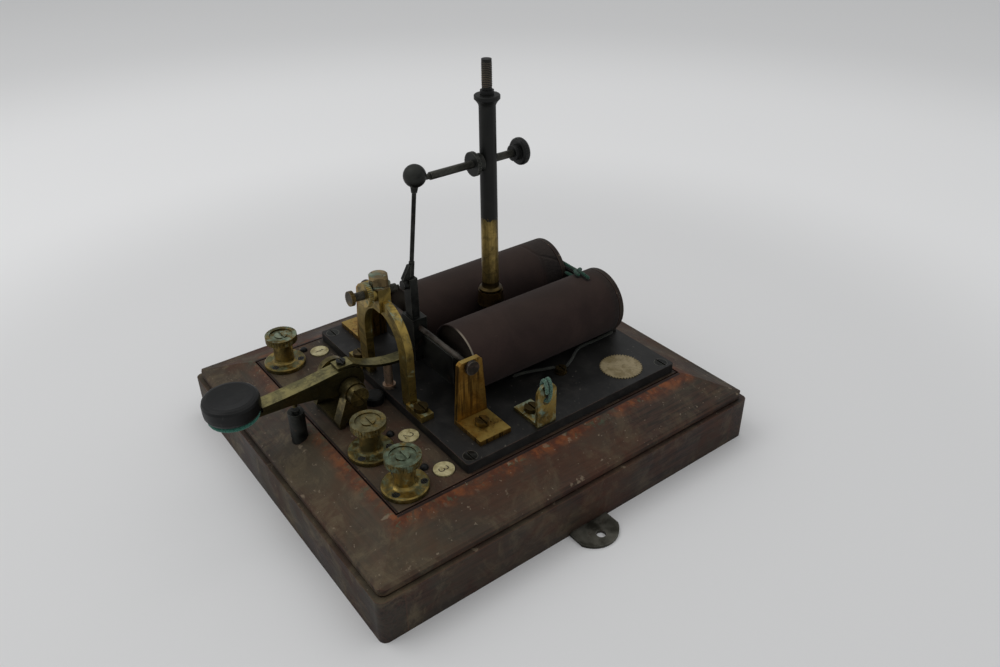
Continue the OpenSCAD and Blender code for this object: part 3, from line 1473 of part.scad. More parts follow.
// Green silk-covered wire: three strands between the coils at the yoke, two of them up over the
// right coil, and a short end wound round the wire terminal, once through its eye and twice over its top
module green_wires() {
    rear = coil_rear;
    over_yoke = yoke_top + green_d / 2 + seat_gap;
    eye_mid = (wire_eye_h + wire_h) / 2 + 0.6;
    eye_r = (wire_h - wire_eye_h) / 2 + 1.5;
    turns = 2;
    steps = 24;
    first = steps / 4;
    last = turns * steps - first;
    pitch = green_d + 0.5;
    side_r = wire_t / 2 + green_d / 2 + wire_slack;
    loop = [for (i = [first : last])
        let (a = -90 + i * 360 / steps)
        [wire_x - wire_t / 2 + side_r * cos(a), wire_y + pitch * (i / steps - turns / 2),
         slab_z + eye_mid + eye_r * sin(a)]];
    // Each point of a turn against every stretch at least half a turn further on.
    least = min([for (i = [0 : last - first]) for (j = [i + steps / 2 : 1 : last - first - 1])
        off_stretch(loop[i], loop[j], loop[j + 1])]);
    echo(wire_loop_least_self_gap = least - green_d);
    color(green_silk) {
        tube(route([
            [far_x + 11, yoke_mid - 0.4, over_yoke], [far_x + 17, yoke_mid - 0.7, over_yoke],
            [mech_x - 3, yoke_mid - 0.9, over_yoke], [mech_x + 3.6, yoke_mid - 1.1, over_yoke + 0.1],
            on_coil(near_x, -62, rear - 0.4, green_d), on_coil(near_x, -53, rear - 2.2, green_d),
            on_coil(near_x, -44, rear - 4, green_d), on_coil(near_x, -34, rear - 7.6, green_d),
            on_coil(near_x, -22, rear - 11.4, green_d), on_coil(near_x, -12, rear - 13.6, green_d),
            on_coil(near_x, -3, rear - 14.7, green_d), on_coil(near_x, 5, rear - 15, green_d),
            on_coil(near_x, 12, rear - 15.2, green_d)], 4), green_d, 8);
        tube(route([
            on_coil(far_x, 74, rear - 1.7, green_d), [mech_x, rear - 1.7, coil_z + 6.3],
            on_coil(near_x, -70, rear - 2.2, green_d), on_coil(near_x, -58, rear - 4.4, green_d),
            on_coil(near_x, -46, rear - 7.4, green_d), on_coil(near_x, -34, rear - 11, green_d),
            on_coil(near_x, -22, rear - 14.6, green_d), on_coil(near_x, -12, rear - 16.8, green_d),
            on_coil(near_x, -3, rear - 17.8, green_d)], 4), green_d, 8);
        tube(route([
            on_coil(far_x, 87, rear - 1.8, green_d), [mech_x, rear - 2, coil_z + 1.6],
            on_coil(near_x, -86, rear - 2, green_d)], 4), green_d, 8);
        tube(loop, green_d, 6);
    }
}

plinth_ends();
plinth_sides();
bottom_board();
base_screws();
top_board();
bench_lugs();
slab();
slab_screws();
foot_screws();
terminal_pillars();
terminal_screws();
terminal_shank_1();
terminal_shank_2();
terminal_shank_3();
terminal_cap_1();
terminal_cap_2();
terminal_cap_3();
number_discs();
panel_pins();
under_nuts();
under_straps();
seal_disc();
key_standard();
key_axle();
key_lever();
key_knob();
knob_washer();
lever_screws();
key_tail();
key_contact_tip();
front_contact();
rear_contact();
ebonite_button();
arch();
contact_screw();
contact_head();
contact_lock_nut();
clamp_screw();
clamp_washer();
arbor_brackets();
arbor();
hammer_carrier();
armature();
armature_screws();
hammer_rod();
hammer_ball();
cores();
coil_cheeks();
windings();
coil_covers();
yoke();
yoke_screws();
pillar_pedestal();
pillar();
stop_screw();
stop_head();
stop_lock_nut();
wire_terminal();
coil_leads();
green_wires();
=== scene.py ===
import math

import bpy
from mathutils import Matrix, Vector, noise


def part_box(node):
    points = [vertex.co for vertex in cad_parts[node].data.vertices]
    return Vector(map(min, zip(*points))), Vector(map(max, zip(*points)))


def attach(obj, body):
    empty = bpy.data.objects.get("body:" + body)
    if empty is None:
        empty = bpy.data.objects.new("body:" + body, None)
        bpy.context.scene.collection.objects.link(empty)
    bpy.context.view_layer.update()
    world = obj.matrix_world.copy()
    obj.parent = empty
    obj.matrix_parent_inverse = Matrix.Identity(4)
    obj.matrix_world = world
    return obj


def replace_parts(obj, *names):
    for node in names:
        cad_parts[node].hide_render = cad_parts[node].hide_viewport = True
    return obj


bl_info = {
    "name": "Telegraph instrument looks",
    "version": (1, 0, 0),
    "blender": (4, 5, 0),
    "location": "View3D > Sidebar > Instrument",
    "description": "Materials, wires, paper and a plain stage for the telegraph instrument",
    "category": "Object",
}

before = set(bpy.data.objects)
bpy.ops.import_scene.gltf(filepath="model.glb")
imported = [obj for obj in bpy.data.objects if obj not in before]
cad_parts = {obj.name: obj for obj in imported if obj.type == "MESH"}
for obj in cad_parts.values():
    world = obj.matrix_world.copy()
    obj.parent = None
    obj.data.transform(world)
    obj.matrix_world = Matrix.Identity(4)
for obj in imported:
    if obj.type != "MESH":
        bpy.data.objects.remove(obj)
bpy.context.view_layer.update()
MM = 0.001


def in_mm(node):
    """The lowest and the highest corner of a CAD node, in millimetres."""
    low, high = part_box(node)
    return low / MM, high / MM


# Places and sizes that the new pieces follow, in millimetres
COIL_X = {"far": -29.5, "near": 23.5}
COVER_LOW, COVER_HIGH = in_mm("coil_covers")
COIL_Z = (COVER_LOW.z + COVER_HIGH.z) / 2
COVER_R = COVER_HIGH.x - COIL_X["near"]
PAPER_WALL = 0.7
SLAB_TOP = in_mm("slab")[1].z
WIRE_GAP = 0.3


def tone(code):
    """A colour in linear light, from six hex digits or from a setting that already holds one."""
    if not isinstance(code, str):
        return list(code)
    parts = [int(code[i:i + 2], 16) / 255 for i in (1, 3, 5)]
    return [c / 12.92 if c <= 0.04045 else ((c + 0.055) / 1.055) ** 2.4 for c in parts] + [1.0]


class Finish:
    """A node material while it is being put together."""

    def __init__(self, name):
        self.mat = bpy.data.materials.new(name)
        self.mat.use_nodes = True
        self.tree = self.mat.node_tree
        self.tree.nodes.clear()
        out = self.add("ShaderNodeOutputMaterial")
        self.skin = self.add("ShaderNodeBsdfPrincipled")
        self.tree.links.new(self.skin.outputs[0], out.inputs[0])
        self.place = self.add("ShaderNodeTexCoord").outputs["Object"]
        self.geometry = self.add("ShaderNodeNewGeometry")
        self.height = None
        self.colour = None

    def add(self, kind, **values):
        n = self.tree.nodes.new(kind)
        for key, value in values.items():
            setattr(n, key, value)
        return n

    def put(self, socket, value):
        if isinstance(value, bpy.types.NodeSocket):
            self.tree.links.new(value, socket)
        else:
            socket.default_value = value

    def stretch(self, sx, sy, sz, turn=(0, 0, 0)):
        """The place, scaled by axis, for streaks and grain."""
        n = self.add("ShaderNodeMapping")
        self.put(n.inputs["Vector"], self.place)
        n.inputs["Rotation"].default_value = turn
        n.inputs["Scale"].default_value = (sx, sy, sz)
        return n.outputs[0]

    def noise(self, scale, detail=4.0, rough=0.55, warp=0.0, at=None):
        n = self.add("ShaderNodeTexNoise")
        self.put(n.inputs["Vector"], at or self.place)
        n.inputs["Scale"].default_value = scale
        n.inputs["Detail"].default_value = detail
        n.inputs["Roughness"].default_value = rough
        n.inputs["Distortion"].default_value = warp
        return n.outputs["Fac"]

    def math(self, how, a, b=0.0):
        n = self.add("ShaderNodeMath", operation=how)
        self.put(n.inputs[0], a)
        self.put(n.inputs[1], b)
        return n.outputs[0]

    def times(self, *values):
        out = values[0]
        for v in values[1:]:
            out = self.math("MULTIPLY", out, v)
        return out

    def band(self, value, low, high, start=0.0, end=1.0):
        """Goes smoothly from start to end while the value goes from low to high."""
        n = self.add("ShaderNodeMapRange", interpolation_type="SMOOTHSTEP")
        for i, v in enumerate((value, low, high, start, end)):
            self.put(n.inputs[i], v)
        return n.outputs[0]

    def mix(self, share, a, b):
        n = self.add("ShaderNodeMix", data_type="RGBA")
        self.put(n.inputs[0], share)
        self.put(n.inputs[6], a)
        self.put(n.inputs[7], b)
        return n.outputs[2]

    def lay(self, over, *shares):
        """Lays a colour over the finish so far; the shares are multiplied."""
        if not isinstance(over, bpy.types.NodeSocket):
            over = tone(over)
        self.colour = self.mix(self.times(*shares), self.colour, over)

    def mix_vector(self, share, a, b):
        n = self.add("ShaderNodeMix", data_type="VECTOR")
        self.put(n.inputs[0], share)
        self.put(n.inputs[4], a)
        self.put(n.inputs[5], b)
        return n.outputs[1]

    def axes(self):
        n = self.add("ShaderNodeSeparateXYZ")
        self.put(n.inputs[0], self.place)
        return n.outputs

    def up(self, low=0.45, high=0.95):
        """How much the surface faces up, where dust and light settle."""
        n = self.add("ShaderNodeSeparateXYZ")
        self.put(n.inputs[0], self.geometry.outputs["Normal"])
        return self.band(n.outputs[2], low, high)

    def edge(self, radius):
        """How close a place is to an outer edge, where the finish wears."""
        n = self.add("ShaderNodeBevel", samples=4)
        n.inputs["Radius"].default_value = radius
        d = self.add("ShaderNodeVectorMath", operation="DOT_PRODUCT")
        self.put(d.inputs[0], n.outputs[0])
        self.put(d.inputs[1], self.geometry.outputs["Normal"])
        return self.band(d.outputs["Value"], 0.995, 0.86)

    def corner_shade_and_dirt(self, reach, low=0.85, high=0.25):
        """How deep a place lies in a corner, by ambient occlusion: it paints shade into corners, together
        with the dirt that stays there.
        """
        n = self.add("ShaderNodeAmbientOcclusion", samples=4)
        n.inputs["Distance"].default_value = reach
        return self.band(n.outputs["AO"], low, high)

    def bump(self, value, depth, strength=1.0):
        """Adds relief of a depth in metres over what is already there."""
        n = self.add("ShaderNodeBump")
        n.inputs["Strength"].default_value = strength
        n.inputs["Distance"].default_value = depth
        self.put(n.inputs["Height"], value)
        if self.height is not None:
            self.put(n.inputs["Normal"], self.height)
        self.height = n.outputs[0]

    def thread(self, axis, pitch, depth=0.00016, strength=0.9):
        """Even ridges along an axis, as on a screw or a winding. axis is 0, 1 or 2."""
        wave = self.math("SINE", self.times(self.axes()[axis], 2 * math.pi / pitch))
        self.bump(wave, depth, strength)
        return wave

    def done(self, rough, metal=0.0, sheen=0.0, coat=0.0, gloss=0.5, plain=None):
        s = self.skin.inputs
        s["Specular IOR Level"].default_value = gloss
        if plain is not None:
            s["Base Color"].default_value = plain
        self.put(s["Base Color"], self.colour)
        self.put(s["Roughness"], rough)
        self.put(s["Metallic"], metal)
        s["Sheen Weight"].default_value = sheen
        s["Coat Weight"].default_value = coat
        if self.height is not None:
            self.put(s["Normal"], self.height)
        return self.mat


def wood_finish(name, direction, dark, mid, red, dust, wear):
    """Old mahogany. direction is x, y, or border for the moulded board, whose grain follows its sides."""
    f = Finish(name)
    x, y, _ = f.axes()
    along_x = f.stretch(34, 620, 620)
    along_y = f.stretch(620, 34, 620)
    # inset is how far in from the box's nearest side a place lies, in metres; the panel begins at panel_in
    panel_in = 0.0298
    half_wide, half_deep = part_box("plinth_sides")[1].x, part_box("plinth_ends")[1].y
    inset_x = f.math("SUBTRACT", half_wide, f.math("ABSOLUTE", x))
    inset_y = f.math("SUBTRACT", half_deep, f.math("ABSOLUTE", y))
    inset = f.math("MINIMUM", inset_x, inset_y)
    if direction == "border":
        side = f.math("LESS_THAN", inset_x, inset_y)
        panel = f.math("GREATER_THAN", inset, panel_in)
        side = f.times(side, f.math("SUBTRACT", 1.0, panel))
        grain_at = f.mix_vector(side, along_x, along_y)
    else:
        grain_at = along_x if direction == "x" else along_y
    # Grain and pores, then grime that is thickest near the front
    grain = f.noise(1.0, 6, 0.6, 0.4, at=grain_at)
    pores = f.noise(3.2, 3, 0.7, at=grain_at)
    cloud = f.noise(16, 5, 0.6, 0.5)
    f.colour = f.mix(f.band(grain, 0.36, 0.66), tone(dark), tone(mid))
    f.lay(red, f.band(cloud, 0.46, 0.64), 0.5)
    f.lay("#0f0906", f.band(pores, 0.58, 0.7), 0.6)
    front = f.band(y, -0.07, -0.1)
    olive = f.band(f.noise(24, 7, 0.68, 0.7), 0.42, 0.6)
    f.lay("#37342a", olive, f.math("ADD", 0.42, f.times(front, 0.2)))
    dirt = f.band(f.noise(60, 8, 0.75, 0.6), 0.46, 0.66)
    f.lay(dust, dirt, f.math("ADD", 0.38, f.times(front, 0.3)))
    film = f.band(f.noise(11, 4, 0.55), 0.38, 0.64, 0.1, 0.7)
    thick = f.math("ADD", 0.18, f.times(front, 0.35))
    f.lay(dust, f.up(0.3, 0.97), film, thick)
    if wear:
        # Red lead in a strip round the panel, some green in it, and painted shade in the panel's groove
        wander = f.times(f.math("SUBTRACT", f.noise(95, 6, 0.7, 0.6), 0.5), 0.006)
        strip = f.times(f.band(f.math("ADD", inset, wander), 0.0195, 0.0272), f.band(inset, 0.031, 0.0296))
        patch = f.band(f.noise(52, 7, 0.7, 0.8), 0.36, 0.6)
        right = f.band(x, -0.06, 0.08, 0.5, 1.0)
        red_lead = f.mix(f.band(f.noise(150, 5, 0.6), 0.42, 0.62), tone("#54260f"), tone("#7f441d"))
        f.lay(red_lead, strip, patch, right, 0.85)
        green = f.times(f.band(inset, 0.022, 0.026), f.band(inset, 0.0312, 0.029),
                        f.band(f.noise(210, 5, 0.7, 0.4), 0.58, 0.63))
        f.lay("#42543f", green, 0.55)
        # Painted shade: a near-black line along the panel's groove
        painted_groove_shade = f.times(f.band(inset, 0.029, 0.0295), f.band(inset, 0.0316, 0.0309))
        f.lay("#0c0705", painted_groove_shade, 0.9)
    # Paint spots, specks and scratches, then worn edges, and dirt with painted shade in the corners
    spots = f.times(f.band(f.noise(105, 5, 0.6), 0.63, 0.68),
                    f.band(f.noise(21, 3, 0.5), 0.44, 0.58))
    spots = f.times(spots, f.band(inset, 0.0296, 0.0286))
    f.lay("#8c7d68", spots, f.up(0.2, 0.7), 0.55)
    specks = f.band(f.noise(520, 3, 0.5), 0.68, 0.72)
    f.lay("#8a7c69", specks, f.up(0.2, 0.7), 0.5)
    marks = f.times(f.band(f.noise(1.0, 2, 0.5, at=f.stretch(200, 1500, 300, (0, 0, 0.9))), 0.72, 0.75),
                    f.band(f.noise(30, 3, 0.5), 0.5, 0.62))
    f.lay("#7d6a56", marks, 0.3)
    f.lay("#5f3a2a", f.edge(0.0011), 0.4)
    f.lay("#080504", f.corner_shade_and_dirt(0.007), 0.7)
    f.bump(grain, 0.00022, 0.5)
    f.bump(pores, 0.00012, 0.5)
    f.bump(marks, 0.0001, -0.5)
    rough = f.band(cloud, 0.3, 0.7, 0.5, 0.78)
    return f.done(rough, gloss=0.28, plain=tone(mid))


def slab_finish():
    """Black slab, greyed by dust and rubbed brown at its edges."""
    f = Finish("black_slab_aged")
    y = f.axes()[1]
    cloud = f.noise(22, 6, 0.65, 0.5)
    fine = f.noise(900, 4, 0.6)
    f.colour = f.mix(f.band(cloud, 0.35, 0.7), tone("#0a0a09"), tone("#151413"))
    worn = f.band(f.noise(85, 7, 0.72, 0.4), 0.46, 0.66)
    f.lay("#2b2926", worn, 0.45)
    grey = f.times(f.up(0.8, 0.98), f.band(f.noise(13, 4, 0.6), 0.38, 0.66),
                   f.band(y, -0.02, 0.08, 0.2, 1.0))
    f.lay("#2b2a28", grey, 0.4)
    specks = f.band(f.noise(420, 2, 0.5), 0.69, 0.74)
    f.lay("#6b665d", specks, f.up(0.8, 0.98), 0.5)
    f.lay("#5b4438", f.edge(0.0008), f.band(cloud, 0.42, 0.6), 0.6)
    # Dirt and painted shade in the corners
    f.lay("#0a0909", f.corner_shade_and_dirt(0.006), 0.5)
    f.bump(fine, 0.00005, 0.5)
    f.bump(cloud, 0.0004, 0.25)
    return f.done(f.band(cloud, 0.3, 0.7, 0.4, 0.66), gloss=0.3, plain=tone("#151312"))


def brass_finish(name, gold, olive, dark, tarnish=0.5, crust=0.0, green=("#566c5e", "#85927f"),
                 brushed=None, brush_share=0.3, painted_top_light=None, painted_side_shade=0.0, dark_below=None,
                 lacquer_above=None, thread=None):
    """Old brass. tarnish is how much of it has browned, crust how much green has grown on it."""
    f = Finish(name)
    z = f.axes()[2]
    cloud = f.noise(70, 6, 0.65, 0.6)
    blotch = f.noise(240, 5, 0.6, 0.3)
    f.colour = f.mix(f.band(cloud, 0.62 - tarnish * 0.4, 0.86 - tarnish * 0.4), tone(gold), tone(olive))
    f.lay(dark, f.band(blotch, 0.5, 0.66), 0.2 + tarnish * 0.5)
    metal = f.band(blotch, 0.42, 0.7, 0.96, 0.78)
    rough = f.band(cloud, 0.3, 0.7, 0.27, 0.5)
    if brushed:
        lines = f.noise(1.0, 4, 0.6, at=f.stretch(*brushed))
        f.bump(lines, 0.00006, 0.6)
        f.lay(dark, f.band(lines, 0.5, 0.62), brush_share)
    f.lay(gold, f.edge(0.0005), 0.6)
    # Dirt and painted shade in the hollows
    f.lay("#120e08", f.corner_shade_and_dirt(0.004), 0.8)
    # Painted light: faces turned upward are made paler, as if lit from above
    if painted_top_light:
        f.lay(painted_top_light, f.up(0.7, 0.98), f.band(cloud, 0.32, 0.56), 0.8)
    soft = 0.0004
    if dark_below:
        foot = f.band(z, dark_below + soft, dark_below - soft)
        f.lay("#2a2112", foot, 0.85)
    # Painted shade: the faces that do not turn upward are darkened
    if painted_side_shade:
        side = f.math("SUBTRACT", 1.0, f.up(0.55, 0.9))
        f.lay("#14110b", side, painted_side_shade)
    if crust:
        settled = f.math("ADD", f.noise(170, 6, 0.7, 0.5), f.times(f.up(0.6, 0.98), 0.11))
        grow = f.band(settled, 0.6 - crust * 0.14, 0.74 - crust * 0.14)
        crusted = f.mix(f.band(blotch, 0.4, 0.62), tone(green[0]), tone(green[1]))
        f.lay(crusted, grow, 0.82)
        metal = f.times(metal, f.math("SUBTRACT", 1.0, f.times(grow, 0.85)))
        rough = f.math("MAXIMUM", rough, f.times(grow, 0.8))
        f.bump(f.times(grow, blotch), 0.00012, 0.7)
    if lacquer_above is not None:
        ragged = f.math("ADD", z, f.times(f.math("SUBTRACT", f.noise(150, 6, 0.7, 0.4), 0.5), 0.013))
        black = f.band(ragged, lacquer_above - soft, lacquer_above + soft)
        worn = f.band(f.noise(120, 6, 0.7, 0.3, at=f.stretch(1, 1, 0.35)), 0.66, 0.7)
        black = f.times(black, f.math("SUBTRACT", 1.0, f.times(worn, 0.8)))
        f.lay(f.mix(f.band(cloud, 0.4, 0.7), tone("#070806"), tone("#12120e")), black)
        metal = f.times(metal, f.math("SUBTRACT", 1.0, black))
        f.bump(black, 0.00008, 0.7)
        rough = f.math("MAXIMUM", rough, f.times(black, 0.55))
    if thread:
        f.thread(*thread)
    f.bump(blotch, 0.00004, 0.5)
    return f.done(rough, metal, gloss=0.3, plain=tone(olive))


def steel_finish(name, light, dark, rust=0.3, thread=None, rough_range=(0.34, 0.6)):
    """Iron or blued steel. rust is how much of it has browned."""
    f = Finish(name)
    cloud = f.noise(90, 5, 0.6, 0.4)
    spots = f.noise(520, 5, 0.65)
    f.colour = f.mix(f.band(cloud, 0.36, 0.66), tone(dark), tone(light))
    brown = f.times(f.band(f.noise(150, 6, 0.7, 0.5), 0.64 - rust * 0.16, 0.76 - rust * 0.16), 0.75)
    f.lay("#3d2b20", brown)
    f.lay("#86857c", f.edge(0.0004), 0.5)
    # Dirt and painted shade in the hollows
    f.lay("#0b0a09", f.corner_shade_and_dirt(0.004), 0.6)
    if thread:
        wave = f.thread(*thread)
        f.lay("#77756b", f.band(wave, 0.2, 0.95, 0.0, 0.35))
    f.bump(spots, 0.00004, 0.6)
    metal = f.math("SUBTRACT", 0.85, f.times(brown, 0.6))
    return f.done(f.band(cloud, 0.3, 0.7, *rough_range), metal, plain=tone(dark))


def ebonite_finish():
    """Black hard rubber, dusty on top and rubbed pale in fine lines."""
    f = Finish("ebonite_worn")
    cloud = f.noise(55, 5, 0.6, 0.5)
    fine = f.noise(1300, 3, 0.5)
    f.colour = f.mix(f.band(cloud, 0.35, 0.7), tone("#070808"), tone("#0e0f0f"))
    dusty = f.times(f.up(0.7, 0.98), f.band(f.noise(60, 5, 0.6), 0.4, 0.7), 0.4)
    f.lay("#242522", dusty)
    rub = f.band(f.noise(1.0, 2, 0.5, at=f.stretch(1800, 130, 300, (0, 0, 0.8))), 0.68, 0.74)
    f.lay("#4a4b47", rub, 0.3)
    f.lay("#4b4c48", f.edge(0.0008), 0.3)
    f.bump(fine, 0.00003, 0.5)
    return f.done(f.band(cloud, 0.3, 0.7, 0.38, 0.58), gloss=0.25, plain=tone("#0e0f0f"))


def paper_finish(name, base, faded, rear_from, rear_share):
    """Coil paper that is dark behind rear_from, in metres, partly its own dark tone and partly painted shade,
    and has a pale front edge on its +X side, the cut edge with a painted highlight.
    """
    f = Finish(name)
    x, y, _ = f.axes()
    fibre = f.noise(1.0, 5, 0.65, 0.5, at=f.stretch(1400, 420, 1400))
    cloud = f.noise(28, 5, 0.6, 0.5)
    f.colour = f.mix(f.band(cloud, 0.34, 0.7), tone(base), tone(faded))
    f.lay("#1c1411", f.band(fibre, 0.5, 0.68), 0.35)
    scuff = f.band(f.noise(1.0, 6, 0.7, 0.5, at=f.stretch(700, 160, 700)), 0.66, 0.73)
    f.lay("#54473f", scuff, 0.3)
    # The rear end is darker: partly the paper's own dark tone, partly painted shade
    rear = f.band(f.math("ADD", y, f.times(f.noise(120, 5, 0.6), 0.006)), rear_from, rear_from + 0.005)
    rear_dark_and_shade = f.mix(f.band(fibre, 0.42, 0.6), tone("#100d0c"), tone("#25211e"))
    f.lay(rear_dark_and_shade, rear, rear_share)
    f.lay("#43372f", f.up(0.5, 0.98), 0.22)
    # Dirt and painted shade in the creases and corners
    f.lay("#0c0908", f.corner_shade_and_dirt(0.0015, 0.97, 0.75), 0.8)
    # A pale front edge on the +X side: the paper's cut edge with a painted highlight
    front = f.times(f.band(y, -0.0198, -0.0207), f.band(x, 0.022, 0.032))
    f.lay("#9b9180", front, 0.75)
    f.bump(fibre, 0.00007, 0.5)
    f.bump(cloud, 0.0008, 0.22)
    return f.done(0.82, sheen=0.03, gloss=0.2, plain=tone(base))


def ivory_finish():
    """Yellowed ivory with fine cracks."""
    f = Finish("ivory_yellowed")
    cloud = f.noise(260, 5, 0.6, 0.4)
    crack = f.band(f.noise(1.0, 3, 0.6, at=f.stretch(2600, 500, 500, (0, 0, 0.6))), 0.62, 0.7)
    f.colour = f.mix(f.band(cloud, 0.36, 0.7), tone("#c2b88c"), tone("#8f8358"))
    f.lay("#5b4c2f", crack, 0.5)
    # Dirt and painted shade in the cracks and corners
    f.lay("#30261a", f.corner_shade_and_dirt(0.0025), 0.8)
    f.bump(cloud, 0.00004, 0.5)
    return f.done(0.42, plain=tone("#b5ab80"))


def gilt_finish():
    """Rubbed gilt paper."""
    f = Finish("gilt_paper")
    cloud = f.noise(180, 6, 0.65, 0.5)
    press = f.noise(900, 4, 0.6)
    f.colour = f.mix(f.band(cloud, 0.35, 0.68), tone("#9a8c6c"), tone("#756744"))
    f.lay("#4f4433", f.band(press, 0.56, 0.68), 0.45)
    f.bump(press, 0.00012, 0.7)
    return f.done(0.5, 0.35, plain=tone("#96886c"))


def cloth_finish(name, light, dark):
    """Silk, cotton or felt, by its two tones."""
    f = Finish(name)
    threads = f.noise(2100, 4, 0.6)
    cloud = f.noise(90, 4, 0.6, 0.3)
    f.colour = f.mix(f.band(threads, 0.4, 0.62), tone(dark), tone(light))
    f.lay("#4b4a40", f.band(cloud, 0.52, 0.72), 0.5)
    f.bump(threads, 0.0001, 0.8)
    return f.done(0.88, sheen=0.15, gloss=0.3, plain=tone(light))


def copper_finish(name, light, dark):
    """Copper wire in even turns."""
    f = Finish(name)
    cloud = f.noise(120, 5, 0.6, 0.4)
    f.colour = f.mix(f.band(cloud, 0.38, 0.66), tone(light), tone(dark))
    f.thread(1, 0.0009, 0.0002, 0.8)
    return f.done(f.band(cloud, 0.3, 0.7, 0.3, 0.55), 0.9, plain=tone(light))


def ink_finish():
    """Faded ink in the engraved numbers."""
    f = Finish("engraved_ink")
    cloud = f.noise(1500, 4, 0.6)
    f.colour = f.mix(f.band(cloud, 0.4, 0.65), tone("#2a2119"), tone("#55462f"))
    return f.done(0.8, plain=tone("#2a2119"))


def paint(finish, *names):
    """Gives a finish to every material slot of these CAD nodes."""
    for name in names:
        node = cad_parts[name]
        if not node.data.materials:
            node.data.materials.append(finish)
        for i in range(len(node.data.materials)):
            node.data.materials[i] = finish


def piece(name, verts, faces, finish, body, smooth=True):
    """A new mesh that rides on a body; its points are in millimetres in the shared frame."""
    mesh = bpy.data.meshes.new(name)
    mesh.from_pydata([[c * MM for c in v] for v in verts], [], faces)
    mesh.validate()
    mesh.polygons.foreach_set("use_smooth", [smooth] * len(mesh.polygons))
    mesh.materials.append(finish)
    obj = bpy.data.objects.new(name, mesh)
    bpy.context.scene.collection.objects.link(obj)
    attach(obj, body)
    return obj


def smooth_route(points, steps):
    """The same curve as the CAD's route: through every point, bending evenly."""
    pts = [Vector(p) for p in points]
    out = []
    for i in range(len(pts) - 1):
        a, b, c, d = pts[max(i - 1, 0)], pts[i], pts[i + 1], pts[min(i + 2, len(pts) - 1)]
        for s in range(steps):
            t = s / steps
            out.append(0.5 * (2 * b + (c - a) * t + (2 * a - 5 * b + 4 * c - d) * t * t
                              + (3 * b - a - 3 * c + d) * t ** 3))
    return out + [pts[-1]]


def evenly(points, step):
    """The route again, with points a set distance apart."""
    out, left = [points[0].copy()], step
    for a, b in zip(points, points[1:]):
        length, at = (b - a).length, 0.0
        while length - at >= left:
            at += left
            out.append(a.lerp(b, at / length))
            left = step
        left -= length - at
    if (out[-1] - points[-1]).length > step * 0.3:
        out.append(points[-1].copy())
    return out


def covered_wire(points, radius, sides, plies, lay, depth):
    """A wire with its covering thread wound round it: a tube whose section turns as it goes."""
    verts, faces, travelled = [], [], 0.0
    normal = None
    for i, p in enumerate(points):
        ahead = points[min(i + 1, len(points) - 1)] - points[max(i - 1, 0)]
        ahead.normalize()
        if normal is None:
            normal = ahead.orthogonal().normalized()
        normal = (normal - ahead * normal.dot(ahead)).normalized()
        other = ahead.cross(normal)
        if i:
            travelled += (p - points[i - 1]).length
        from_end = min(i, len(points) - 1 - i)
        taper = min(1.0, 0.55 + 0.15 * from_end)
        for k in range(sides):
            a = 2 * math.pi * k / sides
            rib = 0.5 + 0.5 * math.cos(plies * a - 2 * math.pi * travelled / lay)
            r = radius * taper * (1 - depth * (1 - rib))
            verts.append(p + r * (math.cos(a) * normal + math.sin(a) * other))
    n = len(points)
    for i in range(n - 1):
        for k in range(sides):
            a, b = i * sides + k, i * sides + (k + 1) % sides
            faces.append((a, b, b + sides, a + sides))
    faces.append(tuple(range(sides))[::-1])
    faces.append(tuple(range((n - 1) * sides, n * sides)))
    return verts, faces


def ribbon(points, width, low, high):
    """A flat stroke of an even width, as engraved numbers have."""
    verts, faces, n = [], [], len(points)
    for i, p in enumerate(points):
        d = points[min(i + 1, n - 1)] - points[max(i - 1, 0)]
        d.normalize()
        side = Vector((-d.y, d.x)) * width / 2
        for q, z in ((p + side, high), (p - side, high), (p - side, low), (p + side, low)):
            verts.append((q.x, q.y, z))
    for i in range(n - 1):
        for k in range(4):
            a, b = 4 * i + k, 4 * i + (k + 1) % 4
            faces.append((a, a + 4, b + 4, b))
    faces.append((0, 1, 2, 3))
    faces.append(tuple(4 * (n - 1) + k for k in (3, 2, 1, 0)))
    return verts, faces


class StageSettings(bpy.types.PropertyGroup):
    """Camera, floor and lights"""
    camera: bpy.props.FloatVectorProperty(
        name="Camera place", description="Where the camera stands",
        size=3, default=(0.3517148, -0.2343466, 0.3304286), subtype="TRANSLATION", unit="LENGTH")
    ahead: bpy.props.FloatVectorProperty(
        name="Camera looks along", description="Direction in which the camera looks",
        size=3, default=(-0.67913, 0.50562, -0.53210), subtype="DIRECTION")
    down: bpy.props.FloatVectorProperty(
        name="Down in the picture", description="Direction that points down in the picture",
        size=3, default=(0.41954, -0.32745, -0.84662), subtype="DIRECTION")
    lens: bpy.props.FloatProperty(
        name="Lens", description="Focal length of the camera",
        default=30.436, min=10, max=200, unit="CAMERA")
    floor_tone: bpy.props.FloatProperty(
        name="Floor", description="How pale the floor is under the instrument",
        default=0.81, min=0, max=1, subtype="FACTOR")
    fill: bpy.props.FloatProperty(
        name="Even light", description="Strength of the even light from all sides",
        default=0.5, min=0, max=3)
    key_power: bpy.props.FloatProperty(
        name="Key light", description="Power of the light at the front left",
        default=5.5, min=0, max=100, unit="POWER")
    top_power: bpy.props.FloatProperty(
        name="Top light", description="Power of the light overhead",
        default=3.5, min=0, max=100, unit="POWER")


class WoodSettings(bpy.types.PropertyGroup):
    """Colours of the wood"""
    dust: bpy.props.FloatVectorProperty(
        name="Dust", description="Colour of the dust and grime on the wood",
        size=4, default=tone("#60543f"), min=0, max=1, subtype="COLOR")
    red: bpy.props.FloatVectorProperty(
        name="Red tint", description="Colour of the mahogany where it is least dirty",
        size=4, default=tone("#4c2a1a"), min=0, max=1, subtype="COLOR")


